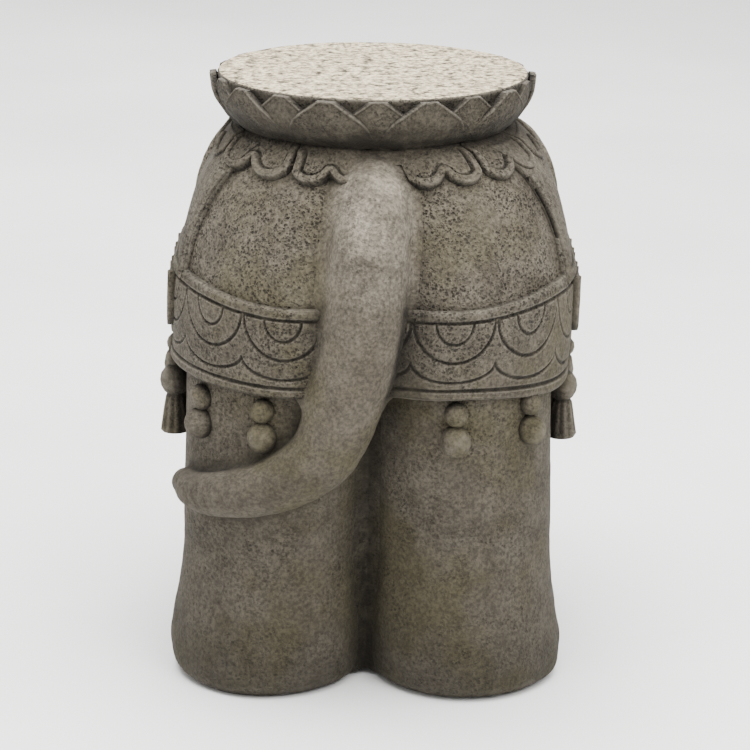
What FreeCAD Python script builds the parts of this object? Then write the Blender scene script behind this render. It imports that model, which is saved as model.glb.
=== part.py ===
import FreeCAD, Part
import math
import os
import re
import Sketcher
from FreeCAD import Placement, Rotation, Vector

# Elephant plant stand in cast stone: four columns of leg, a hollow body, the
# harness ornaments bonded to it and a lotus seat bedded on its back.
# Frame: +Z up, +Y towards the tail, -Y towards the head, +X the elephant's left.
# The origin is on the floor under the middle of the overall box. Millimetres.
# Places are written from the seat's axis; place() moves them into the frame.

SIZES = (
    ("seat_height", 460, "floor to the top face of the seat"),
    ("seat_thickness", 39, "height of the lotus seat"),
    ("neck_radius", 101, "seat underside and flat top of the back"),
    ("bowl_overhang", 17, "seat where its bowl turns upright, beyond the neck"),
    ("bowl_drop", 13, "top face down to the end of the bowl"),
    ("rim_flare", 1.5, "seat's top edge beyond the end of the bowl"),
    ("petal_count", 10, "petals in each of the two rows"),
    ("petal_thickness", 3, "thickness of one row of petals"),
    ("petal_notch_width", 50, "opening between two petal tips at the rim"),
    ("petal_notch_depth", 24, "rim down to the foot of that opening"),
    ("petal_notch_foot", 0.6, "width at the foot of that opening"),
    ("mortar_thickness", 3, "bed between the back and the seat"),
    ("mortar_set_in", 3, "bed's edge inside the neck"),
    ("body_half_width", 149, "seat axis to the flank"),
    ("body_half_length", 153, "seat axis to the rump and to the chest"),
    ("body_corner", 110, "plan radius between flank and rump"),
    ("belt_height", 241, "floor to the underside of the body"),
    ("haunch_rise", 49, "belt up to where the back starts to dome"),
    ("crown_thickness", 33, "back above the hollow core"),
    ("core_draft", 8, "taper of the core over its height"),
    ("core_corner", 40, "plan radius of the core's corners"),
    ("web_recess", 55, "rump or chest back to the web between a pair of legs"),
    ("flank_recess", 45, "flank back to the web along it"),
    ("rear_web_thickness", 18, "web between a pair of legs"),
    ("flank_web_thickness", 32, "web along the flank"),
    ("web_ground_gap", 5, "floor to the underside of the webs"),
    ("web_root", 20, "web's stock inside the core's face, trimmed by the core"),
    ("thigh_radius", 70, "leg where it meets the body"),
    ("ankle_radius", 69, "leg at its slimmest"),
    ("foot_radius", 76, "foot at its widest"),
    ("sole_radius", 67, "foot on the floor"),
    ("ankle_height", 105, "floor to the ankle"),
    ("foot_height", 28, "floor to the widest part of the foot"),
    ("leg_side_inset", 6, "thigh inside the flank"),
    ("leg_end_inset", 7, "thigh inside the rump or chest"),
    ("foot_splay", 4, "foot's centre outside the thigh's"),
    ("belly_reach", 44, "belly's bulge beyond the flank web"),
    ("belly_half_length", 60, "half length of the belly's bulge"),
    ("belly_drop", 96, "body's underside to the foot of the bulge"),
    ("band_height", 68, "harness band, edge to edge"),
    ("band_relief", 5, "band standing proud of the body"),
    ("blanket_relief", 5, "saddle blanket standing proud of the body"),
    ("border_relief", 3, "blanket's border standing proud of it"),
    ("border_width", 9, "width of that border"),
    ("blanket_hem_half", 68, "half length of the blanket at its hem"),
    ("blanket_top_half", 64, "half length of the blanket at the collar"),
    ("hem_gap", 3, "harness band up to the blanket's hem"),
    ("collar_relief", 5, "collar standing proud of the back"),
    ("collar_width", 24, "neck out to the tips of the collar"),
    ("lobe_count", 20, "lobes round the collar, two to a lappet"),
    ("lobe_radius", 20, "radius of a collar lobe"),
    ("tail_projection", 27, "back of the tail behind the rump"),
    ("tail_radius", 28, "tail at its thickest"),
    ("tail_tip_radius", 11, "tail at its tip"),
    ("tail_drop", 79, "belt down to the tail where it lies on the leg"),
    ("head_projection", 72, "front of the trunk ahead of the chest"),
    ("head_half_width", 78, "head at the cheeks"),
    ("head_drop", 76, "top of the back down to the middle of the head"),
    ("skull_half_length", 60, "skull, half its depth"),
    ("skull_half_height", 70, "skull, half its height"),
    ("skull_set_in", 8, "middle of the skull behind the chest's face"),
    ("muzzle_half_width", 54, "muzzle, half its width"),
    ("muzzle_half_length", 44, "muzzle, half its depth"),
    ("muzzle_half_height", 58, "muzzle, half its height"),
    ("muzzle_drop", 52, "middle of the skull down to the muzzle's"),
    ("brow_radius", 42, "domes of the forehead"),
    ("brow_spread", 31, "middle line to the middle of a dome"),
    ("face_reach", 46, "chest's face to the front of the forehead"),
    ("lip_reach", 60, "chest's face to the front of the muzzle"),
    ("plate_half_width", 26, "forehead plate, half its width"),
    ("plate_half_height", 34, "forehead plate, half its height"),
    ("plate_thickness", 14, "forehead plate through its middle"),
    ("trunk_root_radius", 36, "trunk where it leaves the face"),
    ("trunk_tip_radius", 14, "trunk at its tip"),
    ("trunk_tip_height", 36, "floor to the middle of the trunk's tip"),
    ("ear_length", 52, "half length of an ear"),
    ("ear_drop", 74, "half height of an ear"),
    ("ear_thickness", 17, "half thickness of an ear"),
    ("ear_lean", 35, "degrees between an ear and the chest's face"),
    ("ear_set_in", 43, "middle of an ear inside the flank"),
    ("ear_sink", 20, "middle of the head down to the middle of an ear"),
    ("tusk_radius", 12, "tusk at its root"),
    ("tusk_spread", 39, "middle line to the middle of a tusk"),
    ("eye_radius", 7, "eyeball"),
    ("eye_spread", 58, "middle line to the middle of an eye"),
    ("eye_reach", 31, "chest's face to the middle of an eye"),
    ("bead_radius", 9, "upper bead of a drop"),
    ("drop_radius", 11.5, "lower bead of a drop"),
    ("bead_hang", 13, "belt down to the middle of the upper bead"),
    ("drop_hang", 34, "belt down to the middle of the lower bead"),
    ("tab_width", 34, "width of a pendant tab"),
    ("tab_length", 46, "hem down to the foot of a pendant tab"),
    ("tab_relief", 4, "tab standing proud of the band"),
    ("tab_root", 20, "tab's stock inside the flank, trimmed by the body"),
    ("tassel_spacing", 44, "between neighbouring tassels on a flank"),
    ("tassel_bead_radius", 7.2, "small beads of a tassel's string"),
    ("tassel_skirt", 30, "length of a tassel's skirt"),
    ("tassel_end_radius", 4, "tassel's skirt at its end"),
    ("toenail_width", 20, "width of a toenail"),
    ("toenail_height", 24, "height of a toenail"),
    ("toenail_relief", 5, "toenail standing proud of the foot"),
    ("toenail_gap", 2, "floor to the toenails"),
    ("dowel_diameter", 12, "seat dowel"),
    ("dowel_count", 3, "seat dowels"),
    ("dowel_circle", 60, "seat axis to a dowel's axis"),
    ("dowel_bite", 18, "dowel's depth in the back and in the seat"),
    ("bar_diameter", 10, "tie bar in a leg"),
    ("bar_bite", 60, "tie bar's depth in the leg and in the body"),
    ("bar_offset", 16, "bar outside the thigh's axis, both ways"),
    ("clear_reach", 50, "trimming boxes beyond the body, clear of every piece"),
    ("steel_clearance", 0.3, "radial gap round a dowel or a bar"),
)
ALIASES = {alias for alias, amount, note in SIZES}

# Places worked out from the sizes, as formulas for the sheet
AXIS_SHIFT = "(head_projection - tail_projection) / 2"
SEAT_BOTTOM = "(seat_height - seat_thickness)"
BACK_TOP = "(seat_height - seat_thickness - mortar_thickness)"
BOWL_RADIUS = "(neck_radius + bowl_overhang)"
RIM_RADIUS = "(neck_radius + bowl_overhang + rim_flare)"
COLLAR_RING = "(neck_radius + collar_width - lobe_radius)"
HAUNCH_Z = "(belt_height + haunch_rise)"
BAND_TOP = "(belt_height + band_height)"
HEM_Z = "(belt_height + band_height + hem_gap)"
HEAD_Z = f"({BACK_TOP} - head_drop)"
FACE_Y = "(0 - body_half_length)"
THIGH_X = "(body_half_width - thigh_radius - leg_side_inset)"
THIGH_Y = "(body_half_length - thigh_radius - leg_end_inset)"
REAR_WEB_FACE = "(body_half_length - web_recess)"
FLANK_WEB_FACE = "(body_half_width - flank_recess)"
CORE_HALF_WIDTH = f"({FLANK_WEB_FACE} - flank_web_thickness)"
CORE_HALF_LENGTH = f"({REAR_WEB_FACE} - rear_web_thickness)"
FAR_X, FAR_Y = "(body_half_width + clear_reach)", "(body_half_length + clear_reach)"

DOME_STEPS = (0, 0.45, 0.72, 0.9, 1)      # shares of the back's rise, one section each
DOME_POWER = 0.75                         # roundness of the back, 0.5 for an ellipse
# Leg rings: share of the foot's splay, height, radius
LEG_RINGS = (
    (1, "0", "sole_radius"),
    (1, "foot_height * 0.3", "foot_radius - (foot_radius - sole_radius) * 0.3"),
    (1, "foot_height", "foot_radius"),
    (1 / 3, "(foot_height + ankle_height) / 2", "foot_radius * 0.4 + ankle_radius * 0.6"),
    (0, "ankle_height", "ankle_radius"),
    (0, "(ankle_height + belt_height) / 2", "(ankle_radius + thigh_radius) / 2"),
    (0, "belt_height", "thigh_radius"),
)
# Tail down to the leg: sideways, ahead of its hanging line, height, share of its radius
TAIL_HANG = (
    (-3, 23, f"{BACK_TOP} - 15", 0.8),
    (-2, 7, f"{BACK_TOP} - 48", 0.93),
    (2, 0, f"{BACK_TOP} - 100", 1),
    (8, 0, "belt_height + 28", 1),
    (18, 0, "belt_height - 14", 0.97),
    (36, 0, "belt_height - tail_drop / 2 - 8", 0.88),
)
# Tail round the leg: degrees from straight back, rise, lift off the leg, share of the taper to the tip
TAIL_WRAP = ((0, 9, 5, 0.41), (27, 1, 5, 0.58), (52, -2, 5, 0.79), (76, 0, 6, 1))
# Trunk: share of the height from its tip to the head's middle, distance behind its front line,
# share of the taper
TRUNK_RUN = ((0.863, 16, 0), (0.745, 0, 0), (0.588, 1, 0.23), (0.425, 6, 0.42), (0.261, 10, 0.58),
             (0.118, 8, 0.7), (0.007, -5, 0.86), (0, -20, 1))
# Tusk: outwards, ahead of its root, below its root, share of its radius
TUSK_RUN = ((-6, 0, 0, 1), (0, 16, 18, 1), (6, 30, 34, 0.75), (8, 42, 40, 0.4))
SIDES = {"left": 1, "right": -1}
ENDS = {"hind": 1, "fore": -1}
DROP_ANGLES = {("left", "hind"): (5, 58), ("right", "hind"): (-6, 52),
               ("left", "fore"): (0, 56), ("right", "fore"): (0, 56)}   # from straight back, outwards
TOENAIL_ANGLES = (-48, -16, 16, 48)       # from straight ahead, outwards
BOWL_BOW = 0.12                           # bulge of the seat's bowl, as a share of its chord

doc = FreeCAD.newDocument("elephant_plant_stand")
sheet = doc.addObject("Spreadsheet::Sheet", "sizes")
nodes = []


def fill_sheet():
    """One row for each driving dimension: its name, its value and what it is."""
    for row, (alias, amount, note) in enumerate(SIZES, start=1):
        sheet.set(f"A{row}", alias)
        sheet.set(f"B{row}", str(amount))
        sheet.setAlias(f"B{row}", alias)
        sheet.set(f"C{row}", note)
    doc.recompute()


def cells(formula):
    """The formula with each size's name turned into its cell."""
    def cell(match):
        word = match.group()
        return f"sizes.{word}" if word in ALIASES else word
    return re.sub(r"[a-z_]+", cell, str(formula))


def value(formula):
    return float(sheet.evalExpression(cells(formula)))


def bind(item, **formulas):
    """Bind properties to formulas; a double underscore stands for a dot."""
    for name, formula in formulas.items():
        item.setExpression(name.replace("__", "."), cells(formula))
    return item


def place(item, x=0, y=0, z=0, turn=None):
    """Put an item at a place given from the seat's axis."""
    if turn:
        item.Placement = Placement(Vector(), turn)
    return bind(item, Placement__Base__x=x, Placement__Base__y=f"{y} + {AXIS_SHIFT}", Placement__Base__z=z)


def box(name, x, y, z):
    """A box between two formulas on each axis, from the seat's axis."""
    item = doc.addObject("Part::Box", name)
    for side, (low, high) in zip(("Length", "Width", "Height"), (x, y, z)):
        bind(item, **{side: f"({high}) - ({low})"})
    return place(item, x[0], y[0], z[0])


def span(side, near, far):
    """Two formulas along X or Y, low then high, for a stretch on one side of the middle line."""
    return (near, far) if side > 0 else (f"-({far})", f"-({near})")


def quarter_box(name, side, end, heights):
    """A box over one quarter of the plan, between two heights."""
    return box(name, span(side, "0", FAR_X), span(end, "0", FAR_Y), heights)


def cylinder(name, radius, height, x=0, y=0, z=0):
    item = doc.addObject("Part::Cylinder", name)
    return place(bind(item, Radius=radius, Height=height), x, y, z)


def facing(side):
    """A turn that points an item's own +X away from the middle line."""
    return Rotation(Vector(0, 0, 1), 90 - 90 * side)


def ball(name, radius, x, y, z, side):
    """A ball whose seam faces outwards, clear of what it is set into."""
    item = doc.addObject("Part::Sphere", name)
    return place(bind(item, Radius=radius), x, y, z, facing(side))


def ellipsoid(name, half_x, half_y, half_z, x, y, z, turn=None):
    item = doc.addObject("Part::Ellipsoid", name)
    return place(bind(item, Radius1=half_z, Radius2=half_x, Radius3=half_y), x, y, z, turn)


def cone(name, low_radius, high_radius, height, x, y, z):
    item = doc.addObject("Part::Cone", name)
    return place(bind(item, Radius1=low_radius, Radius2=high_radius, Height=height), x, y, z)


def cut(name, base, *tools):
    """The base with each tool taken away in turn."""
    for tool in tools:
        item = doc.addObject("Part::Cut", name + "_cut")
        item.Base = base
        item.Tool = tool
        base = item
    return base


def common(name, base, tool):
    item = doc.addObject("Part::Common", name + "_common")
    item.Base = base
    item.Tool = tool
    return item


def fuse(name, *shapes):
    item = doc.addObject("Part::MultiFuse", name + "_fuse")
    item.Shapes = list(shapes)
    return item


def group(name, *links):
    item = doc.addObject("Part::Compound", name + "_group")
    item.Links = list(links)
    return item


def loft(name, sections):
    item = doc.addObject("Part::Loft", name + "_loft")
    item.Sections = sections
    item.Solid = True
    return item


def tube(name, stations, across):
    """A loft through round sections square to the path; each station is x, y, z, radius."""
    centres = [Vector(*(value(part) for part in station[:3])) for station in stations]
    last = len(stations) - 1
    sections = []
    for index, (x, y, z, radius) in enumerate(stations):
        along = centres[min(index + 1, last)] - centres[max(index - 1, 0)]
        turn = Rotation(across, along.cross(across), along, "ZXY")
        ring = doc.addObject("Part::Circle", name + "_ring")
        sections.append(place(bind(ring, Radius=radius), x, y, z, turn))
    return loft(name, sections)


def rounded_section(name, half_width, half_length, corner, height):
    """A level sketch of a rectangle with round corners, centred on the seat's axis."""
    item = doc.addObject("Sketcher::SketchObject", name)
    wide, long, curve = value(half_width), value(half_length), value(corner)
    near_x, near_y = wide - curve, long - curve
    turns = ((near_x, near_y), (-near_x, near_y), (-near_x, -near_y), (near_x, -near_y))
    starts = ((wide, -near_y), (near_x, long), (-wide, near_y), (-near_x, -long))
    ends = ((wide, near_y), (-near_x, long), (-wide, -near_y), (near_x, -long))
    for quarter in range(4):
        line = Part.LineSegment(Vector(*starts[quarter], 0), Vector(*ends[quarter], 0))
        item.addGeometry(line)
        circle = Part.Circle(Vector(*turns[quarter], 0), Vector(0, 0, 1), curve)
        first = quarter * math.pi / 2
        item.addGeometry(Part.ArcOfCircle(circle, first, first + math.pi / 2))
    for edge in range(8):
        item.addConstraint(Sketcher.Constraint("Tangent", edge, 2, (edge + 1) % 8, 1))
    for line, direction in ((0, "Vertical"), (2, "Horizontal"), (4, "Vertical"), (6, "Horizontal")):
        item.addConstraint(Sketcher.Constraint(direction, line))
    for arc in (3, 5, 7):
        item.addConstraint(Sketcher.Constraint("Equal", 1, arc))
    rules = {
        "right": (Sketcher.Constraint("DistanceX", -1, 1, 0, 1, wide), half_width),
        "left": (Sketcher.Constraint("DistanceX", 4, 1, -1, 1, wide), half_width),
        "back": (Sketcher.Constraint("DistanceY", -1, 1, 2, 1, long), half_length),
        "front": (Sketcher.Constraint("DistanceY", 6, 1, -1, 1, long), half_length),
        "corner": (Sketcher.Constraint("Radius", 1, curve), corner),
    }
    for rule, (constraint, formula) in rules.items():
        item.renameConstraint(item.addConstraint(constraint), rule)
        item.setExpression(f"Constraints.{rule}", cells(formula))
    return place(item, z=height)


def body_form(name, grow="0"):
    """The body's outer form, its sections grown outwards: upright up to the haunch, then a dome."""
    sections = [rounded_section(name + "_level", f"body_half_width + {grow}", f"body_half_length + {grow}",
                                f"body_corner + {grow}", "belt_height")]
    for step in DOME_STEPS:
        reach = f"(1 - {step}^2)^{DOME_POWER}"
        half_width = f"neck_radius + (body_half_width - neck_radius) * {reach} + {grow}"
        half_length = f"neck_radius + (body_half_length - neck_radius) * {reach} + {grow}"
        corner = f"body_corner + (neck_radius - 1 - body_corner) * {step}^2 + {grow}"
        height = f"{HAUNCH_Z} + {step} * ({BACK_TOP} - {HAUNCH_Z})"
        sections.append(rounded_section(name + "_level", half_width, half_length, corner, height))
    return loft(name, sections)


def keep(name, item):
    """Make an item a sub-part under its own name."""
    item.Label = name
    nodes.append(item)
    return item


def core_form():
    """The hollow inside, open at the floor and tapering up to the crown."""
    top = f"{BACK_TOP} - crown_thickness"
    low = rounded_section("core_level", CORE_HALF_WIDTH, CORE_HALF_LENGTH, "core_corner", "0")
    high = rounded_section("core_level", f"{CORE_HALF_WIDTH} - core_draft",
                           f"{CORE_HALF_LENGTH} - core_draft", "core_corner - core_draft / 2", top)
    return loft("core", [low, high])


def dowels(name, grow):
    """The seat's dowels, or with some growth their holes."""
    pins = []
    for index in range(int(value("dowel_count"))):
        angle = f"({index} * 360 / dowel_count + 90)"
        pins.append(cylinder(name, f"dowel_diameter / 2 + {grow}", "2 * dowel_bite + mortar_thickness",
                             f"dowel_circle * cos({angle})", f"dowel_circle * sin({angle})",
                             f"{BACK_TOP} - dowel_bite"))
    return group(name, *pins)


def bars(name, grow):
    """The tie bars of the four legs, or with some growth their holes."""
    rods = []
    for side in SIDES.values():
        for end in ENDS.values():
            rods.append(cylinder(name, f"bar_diameter / 2 + {grow}", "2 * bar_bite",
                                 f"{side} * ({THIGH_X} + bar_offset)", f"{end} * ({THIGH_Y} + bar_offset)",
                                 "belt_height - bar_bite"))
    return group(name, *rods)


def leg_form(side, end):
    """A leg as a loft of rings, sole to thigh."""
    sections = []
    for splay, height, radius in LEG_RINGS:
        ring = doc.addObject("Part::Circle", "leg_ring")
        sections.append(place(bind(ring, Radius=radius), f"{side} * ({THIGH_X} + {splay} * foot_splay)",
                              f"{end} * ({THIGH_Y} + {splay} * foot_splay)", height))
    return loft("leg", sections)


def tail_form():
    """The tail: down between the cheeks, then round the outside of the left hind leg."""
    stations = []
    for sideways, ahead, height, share in TAIL_HANG:
        stations.append((sideways, f"body_half_length + tail_projection - tail_radius - {ahead}", height,
                         f"tail_radius * {share}"))
    for angle, rise, lift, taper in TAIL_WRAP:
        reach = f"(ankle_radius + {lift})"
        stations.append((f"{THIGH_X} + sin({angle}) * {reach}", f"{THIGH_Y} + cos({angle}) * {reach}",
                         f"belt_height - tail_drop + {rise}",
                         f"tail_radius + (tail_tip_radius - tail_radius) * {taper}"))
    return tube("tail", stations, Vector(0, 1, 0))


def trunk_form():
    """The trunk: out of the face, down between the forelegs, its tip curling forwards."""
    front_y = f"{FACE_Y} - head_projection + trunk_root_radius"
    stations = []
    for share, behind, taper in TRUNK_RUN:
        stations.append((0, f"{front_y} + {behind}",
                         f"trunk_tip_height + {share} * ({HEAD_Z} - trunk_tip_height)",
                         f"trunk_root_radius + (trunk_tip_radius - trunk_root_radius) * {taper}"))
    return tube("trunk", stations, Vector(1, 0, 0))


def head_form():
    """The head: skull, two brow domes and the muzzle."""
    shapes = [
        ellipsoid("skull", "head_half_width", "skull_half_length", "skull_half_height",
                  0, f"{FACE_Y} + skull_set_in", HEAD_Z),
        ellipsoid("muzzle", "muzzle_half_width", "muzzle_half_length", "muzzle_half_height",
                  0, f"{FACE_Y} - lip_reach + muzzle_half_length", f"{HEAD_Z} - muzzle_drop"),
    ]
    for side in SIDES.values():
        shapes.append(ellipsoid("brow", "brow_radius", "brow_radius", "brow_radius",
                                f"{side} * brow_spread", f"{FACE_Y} - face_reach + brow_radius * 0.6",
                                f"{HEAD_Z} + skull_half_height - brow_radius"))
    return fuse("head", *shapes)


def tusk_form(side):
    """A short tusk out of the muzzle beside the trunk, sweeping down and forwards."""
    stations = []
    for outwards, ahead, below, share in TUSK_RUN:
        stations.append((f"{side} * (tusk_spread + {outwards})", f"{FACE_Y} - lip_reach / 2 - {ahead}",
                         f"{HEAD_Z} - muzzle_drop - tusk_radius - {below}", f"tusk_radius * {share}"))
    return tube("tusk", stations, Vector(1, 0, 0))


def seat_profile(name, grow, top_drop):
    """Half section of the lotus seat as a solid of revolution, grown sideways and cut lower at the top."""
    item = doc.addObject("Sketcher::SketchObject", name)
    formulas = {
        "neck": f"neck_radius + {grow}",
        "bowl": f"{BOWL_RADIUS} + {grow}",
        "rim": f"{RIM_RADIUS} + {grow}",
        "turn_up": "seat_thickness - bowl_drop",
        "top": f"seat_thickness - {top_drop}",
    }
    neck, bowl, rim, turn_up, top = (value(formula) for formula in formulas.values())
    corners = [Vector(), Vector(neck, 0, 0), Vector(bowl, turn_up, 0), Vector(rim, top, 0), Vector(0, top, 0)]
    item.addGeometry(Part.LineSegment(corners[0], corners[1]))
    chord = corners[2] - corners[1]
    bow = corners[1] + chord / 2 + Vector(chord.y, -chord.x, 0) * BOWL_BOW
    item.addGeometry(Part.Arc(corners[1], bow, corners[2]))
    item.addGeometry(Part.LineSegment(corners[2], corners[3]))
    item.addGeometry(Part.LineSegment(corners[3], corners[4]))
    item.addGeometry(Part.LineSegment(corners[4], corners[0]))
    for edge in range(5):
        item.addConstraint(Sketcher.Constraint("Coincident", edge, 2, (edge + 1) % 5, 1))
    item.addConstraint(Sketcher.Constraint("Coincident", 0, 1, -1, 1))
    item.addConstraint(Sketcher.Constraint("Horizontal", 0))
    item.addConstraint(Sketcher.Constraint("Horizontal", 3))
    item.addConstraint(Sketcher.Constraint("Vertical", 4))
    rules = {
        "neck": Sketcher.Constraint("DistanceX", -1, 1, 0, 2, neck),
        "bowl": Sketcher.Constraint("DistanceX", -1, 1, 1, 2, bowl),
        "rim": Sketcher.Constraint("DistanceX", -1, 1, 2, 2, rim),
        "turn_up": Sketcher.Constraint("DistanceY", -1, 1, 1, 2, turn_up),
        "top": Sketcher.Constraint("DistanceY", -1, 1, 2, 2, top),
    }
    for rule, constraint in rules.items():
        item.renameConstraint(item.addConstraint(constraint), rule)
        item.setExpression(f"Constraints.{rule}", cells(formulas[rule]))
    bow_radius = chord.Length * (0.25 + BOWL_BOW ** 2) / (2 * BOWL_BOW)
    item.addConstraint(Sketcher.Constraint("Radius", 1, bow_radius))
    place(item, z=SEAT_BOTTOM, turn=Rotation(Vector(1, 0, 0), 90))
    turned = doc.addObject("Part::Revolution", name + "_solid")
    turned.Source = item
    turned.Axis = Vector(0, 0, 1)
    turned.Angle = 360
    turned.Solid = True
    bind(turned, Base__y=AXIS_SHIFT)
    return turned


def petal_notches(name, first_angle):
    """Wedges that open the rim between neighbouring petal tips."""
    wedges = []
    for index in range(int(value("petal_count"))):
        item = doc.addObject("Part::Wedge", name)
        bind(item, Xmin="-petal_notch_foot / 2", Xmax="petal_notch_foot / 2",
             X2min="-petal_notch_width / 2", X2max="petal_notch_width / 2",
             Ymin=0, Ymax="petal_notch_depth", Zmin="neck_radius / 2", Zmax="neck_radius * 2",
             Z2min="neck_radius / 2", Z2max="neck_radius * 2")
        out = Rotation(Vector(0, 0, 1), first_angle + index * 360 / value("petal_count"))
        upright = Rotation(Vector(-1, 0, 0), Vector(0, 0, 1), Vector(0, 1, 0), "XYZ")
        wedges.append(place(item, z="seat_height - petal_notch_depth", turn=out.multiply(upright)))
    return fuse(name + "_all", *wedges)


def blanket_outline(name, margin, side):
    """A slanted prism on one flank: the blanket's outline, brought in by a margin at hem and edges."""
    item = doc.addObject("Part::Wedge", name)
    low_half, high_half = f"blanket_hem_half - {margin}", f"blanket_top_half - {margin}"
    bind(item, Xmin=f"-({low_half})", Xmax=low_half, X2min=f"-({high_half})", X2max=high_half,
         Ymin=0, Ymax=f"{BACK_TOP} - {HEM_Z} - {margin}", Zmin=0, Zmax=FAR_X, Z2min=0, Z2max=FAR_X)
    on_flank = Rotation(Vector(0, side, 0), Vector(0, 0, 1), Vector(side, 0, 0), "XYZ")
    return place(item, z=f"{HEM_Z} + {margin}", turn=on_flank)


def flank_tassel(side, spot, *seats):
    """A string of one bead on the band, then a bead, a ball and a tassel on the belly."""
    along = f"{spot} * tassel_spacing"
    bulge = f"{FLANK_WEB_FACE} + belly_reach * sqrt(1 - ({along} / belly_half_length)^2)"
    on_band = "body_half_width + band_relief"
    ball_z = "belt_height - tassel_bead_radius - drop_radius"
    pieces = [
        ball("tassel_bead", "tassel_bead_radius", f"{side} * ({on_band} + 3)", along,
             "belt_height + tassel_bead_radius * 1.6", side),
        ball("tassel_bead", "tassel_bead_radius", f"{side} * ({on_band} + 1)", along, "belt_height", side),
        ball("tassel_ball", "drop_radius", f"{side} * ({bulge} + 3)", along, ball_z, side),
        cone("tassel_skirt", "tassel_end_radius", "drop_radius * 0.8", "tassel_skirt",
             f"{side} * ({bulge} + 1)", along, f"{ball_z} - drop_radius * 0.6 - tassel_skirt"),
    ]
    return cut("tassel", fuse("tassel_string", *pieces), *seats)


def bead_drop(side, end, angle, leg, tail):
    """Two beads hung under the band, set into the leg's surface."""
    beads = []
    for radius, hang in (("bead_radius", "bead_hang"), ("drop_radius", "drop_hang")):
        reach = f"(thigh_radius + {radius} * 0.3)"
        bead = ball("drop_bead", radius, f"{side} * ({THIGH_X} + {reach} * sin({angle}))",
                    f"{end} * ({THIGH_Y} + {reach} * cos({angle}))", f"belt_height - {hang}", side)
        beads.append(cut("drop_bead", bead, leg, tail))
    return beads


def toenail(side, angle, leg):
    """A flat oval nail on the front of a forefoot."""
    turn = Rotation(Vector(0, 0, 1), side * angle)
    nail = ellipsoid("nail", "toenail_width / 2", "toenail_relief", "toenail_height / 2",
                     f"{side} * ({THIGH_X} + foot_splay + foot_radius * sin({angle}))",
                     f"0 - {THIGH_Y} - foot_splay - foot_radius * cos({angle})",
                     "toenail_height / 2 + toenail_gap", turn)
    return cut("nail_set", nail, leg)


def make_steel():
    """The bars that tie the legs to the body and the dowels that hold the seat."""
    keep("leg_bars", bars("leg_bar", "0"))
    keep("seat_dowels", dowels("seat_dowel", "0"))


def make_legs(core, bar_holes):
    """Four legs, each with its core and its bar hole taken out; gives back their outer forms."""
    legs = {}
    for side_name, side in SIDES.items():
        for end_name, end in ENDS.items():
            leg = leg_form(side, end)
            name = f"{end_name}_leg_{side_name}"
            keep(name, cut(name, leg, core, bar_holes))
            legs[side_name, end_name] = leg
    return legs


def make_webs(core, legs):
    """The recessed webs between the hind legs and between the forelegs."""
    webs = {}
    for end_name, end in ENDS.items():
        name = "rear_web" if end > 0 else "chest_web"
        web_y = span(end, f"{CORE_HALF_LENGTH} - web_root", REAR_WEB_FACE)
        stock = box("web", (f"-{THIGH_X}", THIGH_X), web_y, ("web_ground_gap", "belt_height"))
        web = cut(name, stock, core, legs["left", end_name], legs["right", end_name])
        webs[end_name] = keep(name, web)
    return webs


def make_bands(torso, tail, head, trunk):
    """The harness bands, bonded round the body and parted at the four middles."""
    belt = ("belt_height", BAND_TOP)
    whole = box("band_span", (f"-{FAR_X}", FAR_X), (f"-{FAR_Y}", FAR_Y), belt)
    ring = common("band_ring", cut("band_form", body_form("band_form", "band_relief"), torso), whole)
    bands = {}
    for side_name, side in SIDES.items():
        for end_name, end in ENDS.items():
            name = f"{'breeching' if end > 0 else 'breast'}_band_{side_name}"
            strip = common(name, ring, quarter_box("band_quarter", side, end, belt))
            obstacles = (tail,) if end > 0 else (head, trunk)
            bands[side_name, end_name] = keep(name, cut(name, strip, *obstacles))
    return ring, bands


def make_collar(torso):
    """The collar of lappets round the neck, its edge a ring of lobes."""
    lobes = [cylinder("collar_disc", COLLAR_RING, "seat_height")]
    for index in range(int(value("lobe_count"))):
        angle = f"(({index} + 0.5) * 360 / lobe_count)"
        lobes.append(cylinder("collar_lobe", "lobe_radius", "seat_height",
                              f"{COLLAR_RING} * sin({angle})", f"{COLLAR_RING} * cos({angle})"))
    ring = cut("collar_ring", body_form("collar_form", "collar_relief"), torso)
    return keep("seat_collar", common("seat_collar", ring, fuse("collar_outline", *lobes)))


def make_blankets(torso, collar):
    """A saddle blanket on each flank and the raised border along its edges."""
    cloth = cut("blanket_ring", body_form("blanket_form", "blanket_relief"), torso)
    border = cut("border_ring", body_form("border_form", "blanket_relief + border_relief"),
                 body_form("border_inside", "blanket_relief"))
    for side_name, side in SIDES.items():
        outline = blanket_outline("blanket_outline", "0", side)
        inside = blanket_outline("blanket_inside", "border_width", side)
        name = f"saddle_blanket_{side_name}"
        keep(name, cut(name, common(name, cloth, outline), collar))
        name = f"blanket_border_{side_name}"
        keep(name, cut(name, common(name, border, outline), inside, collar))


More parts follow.
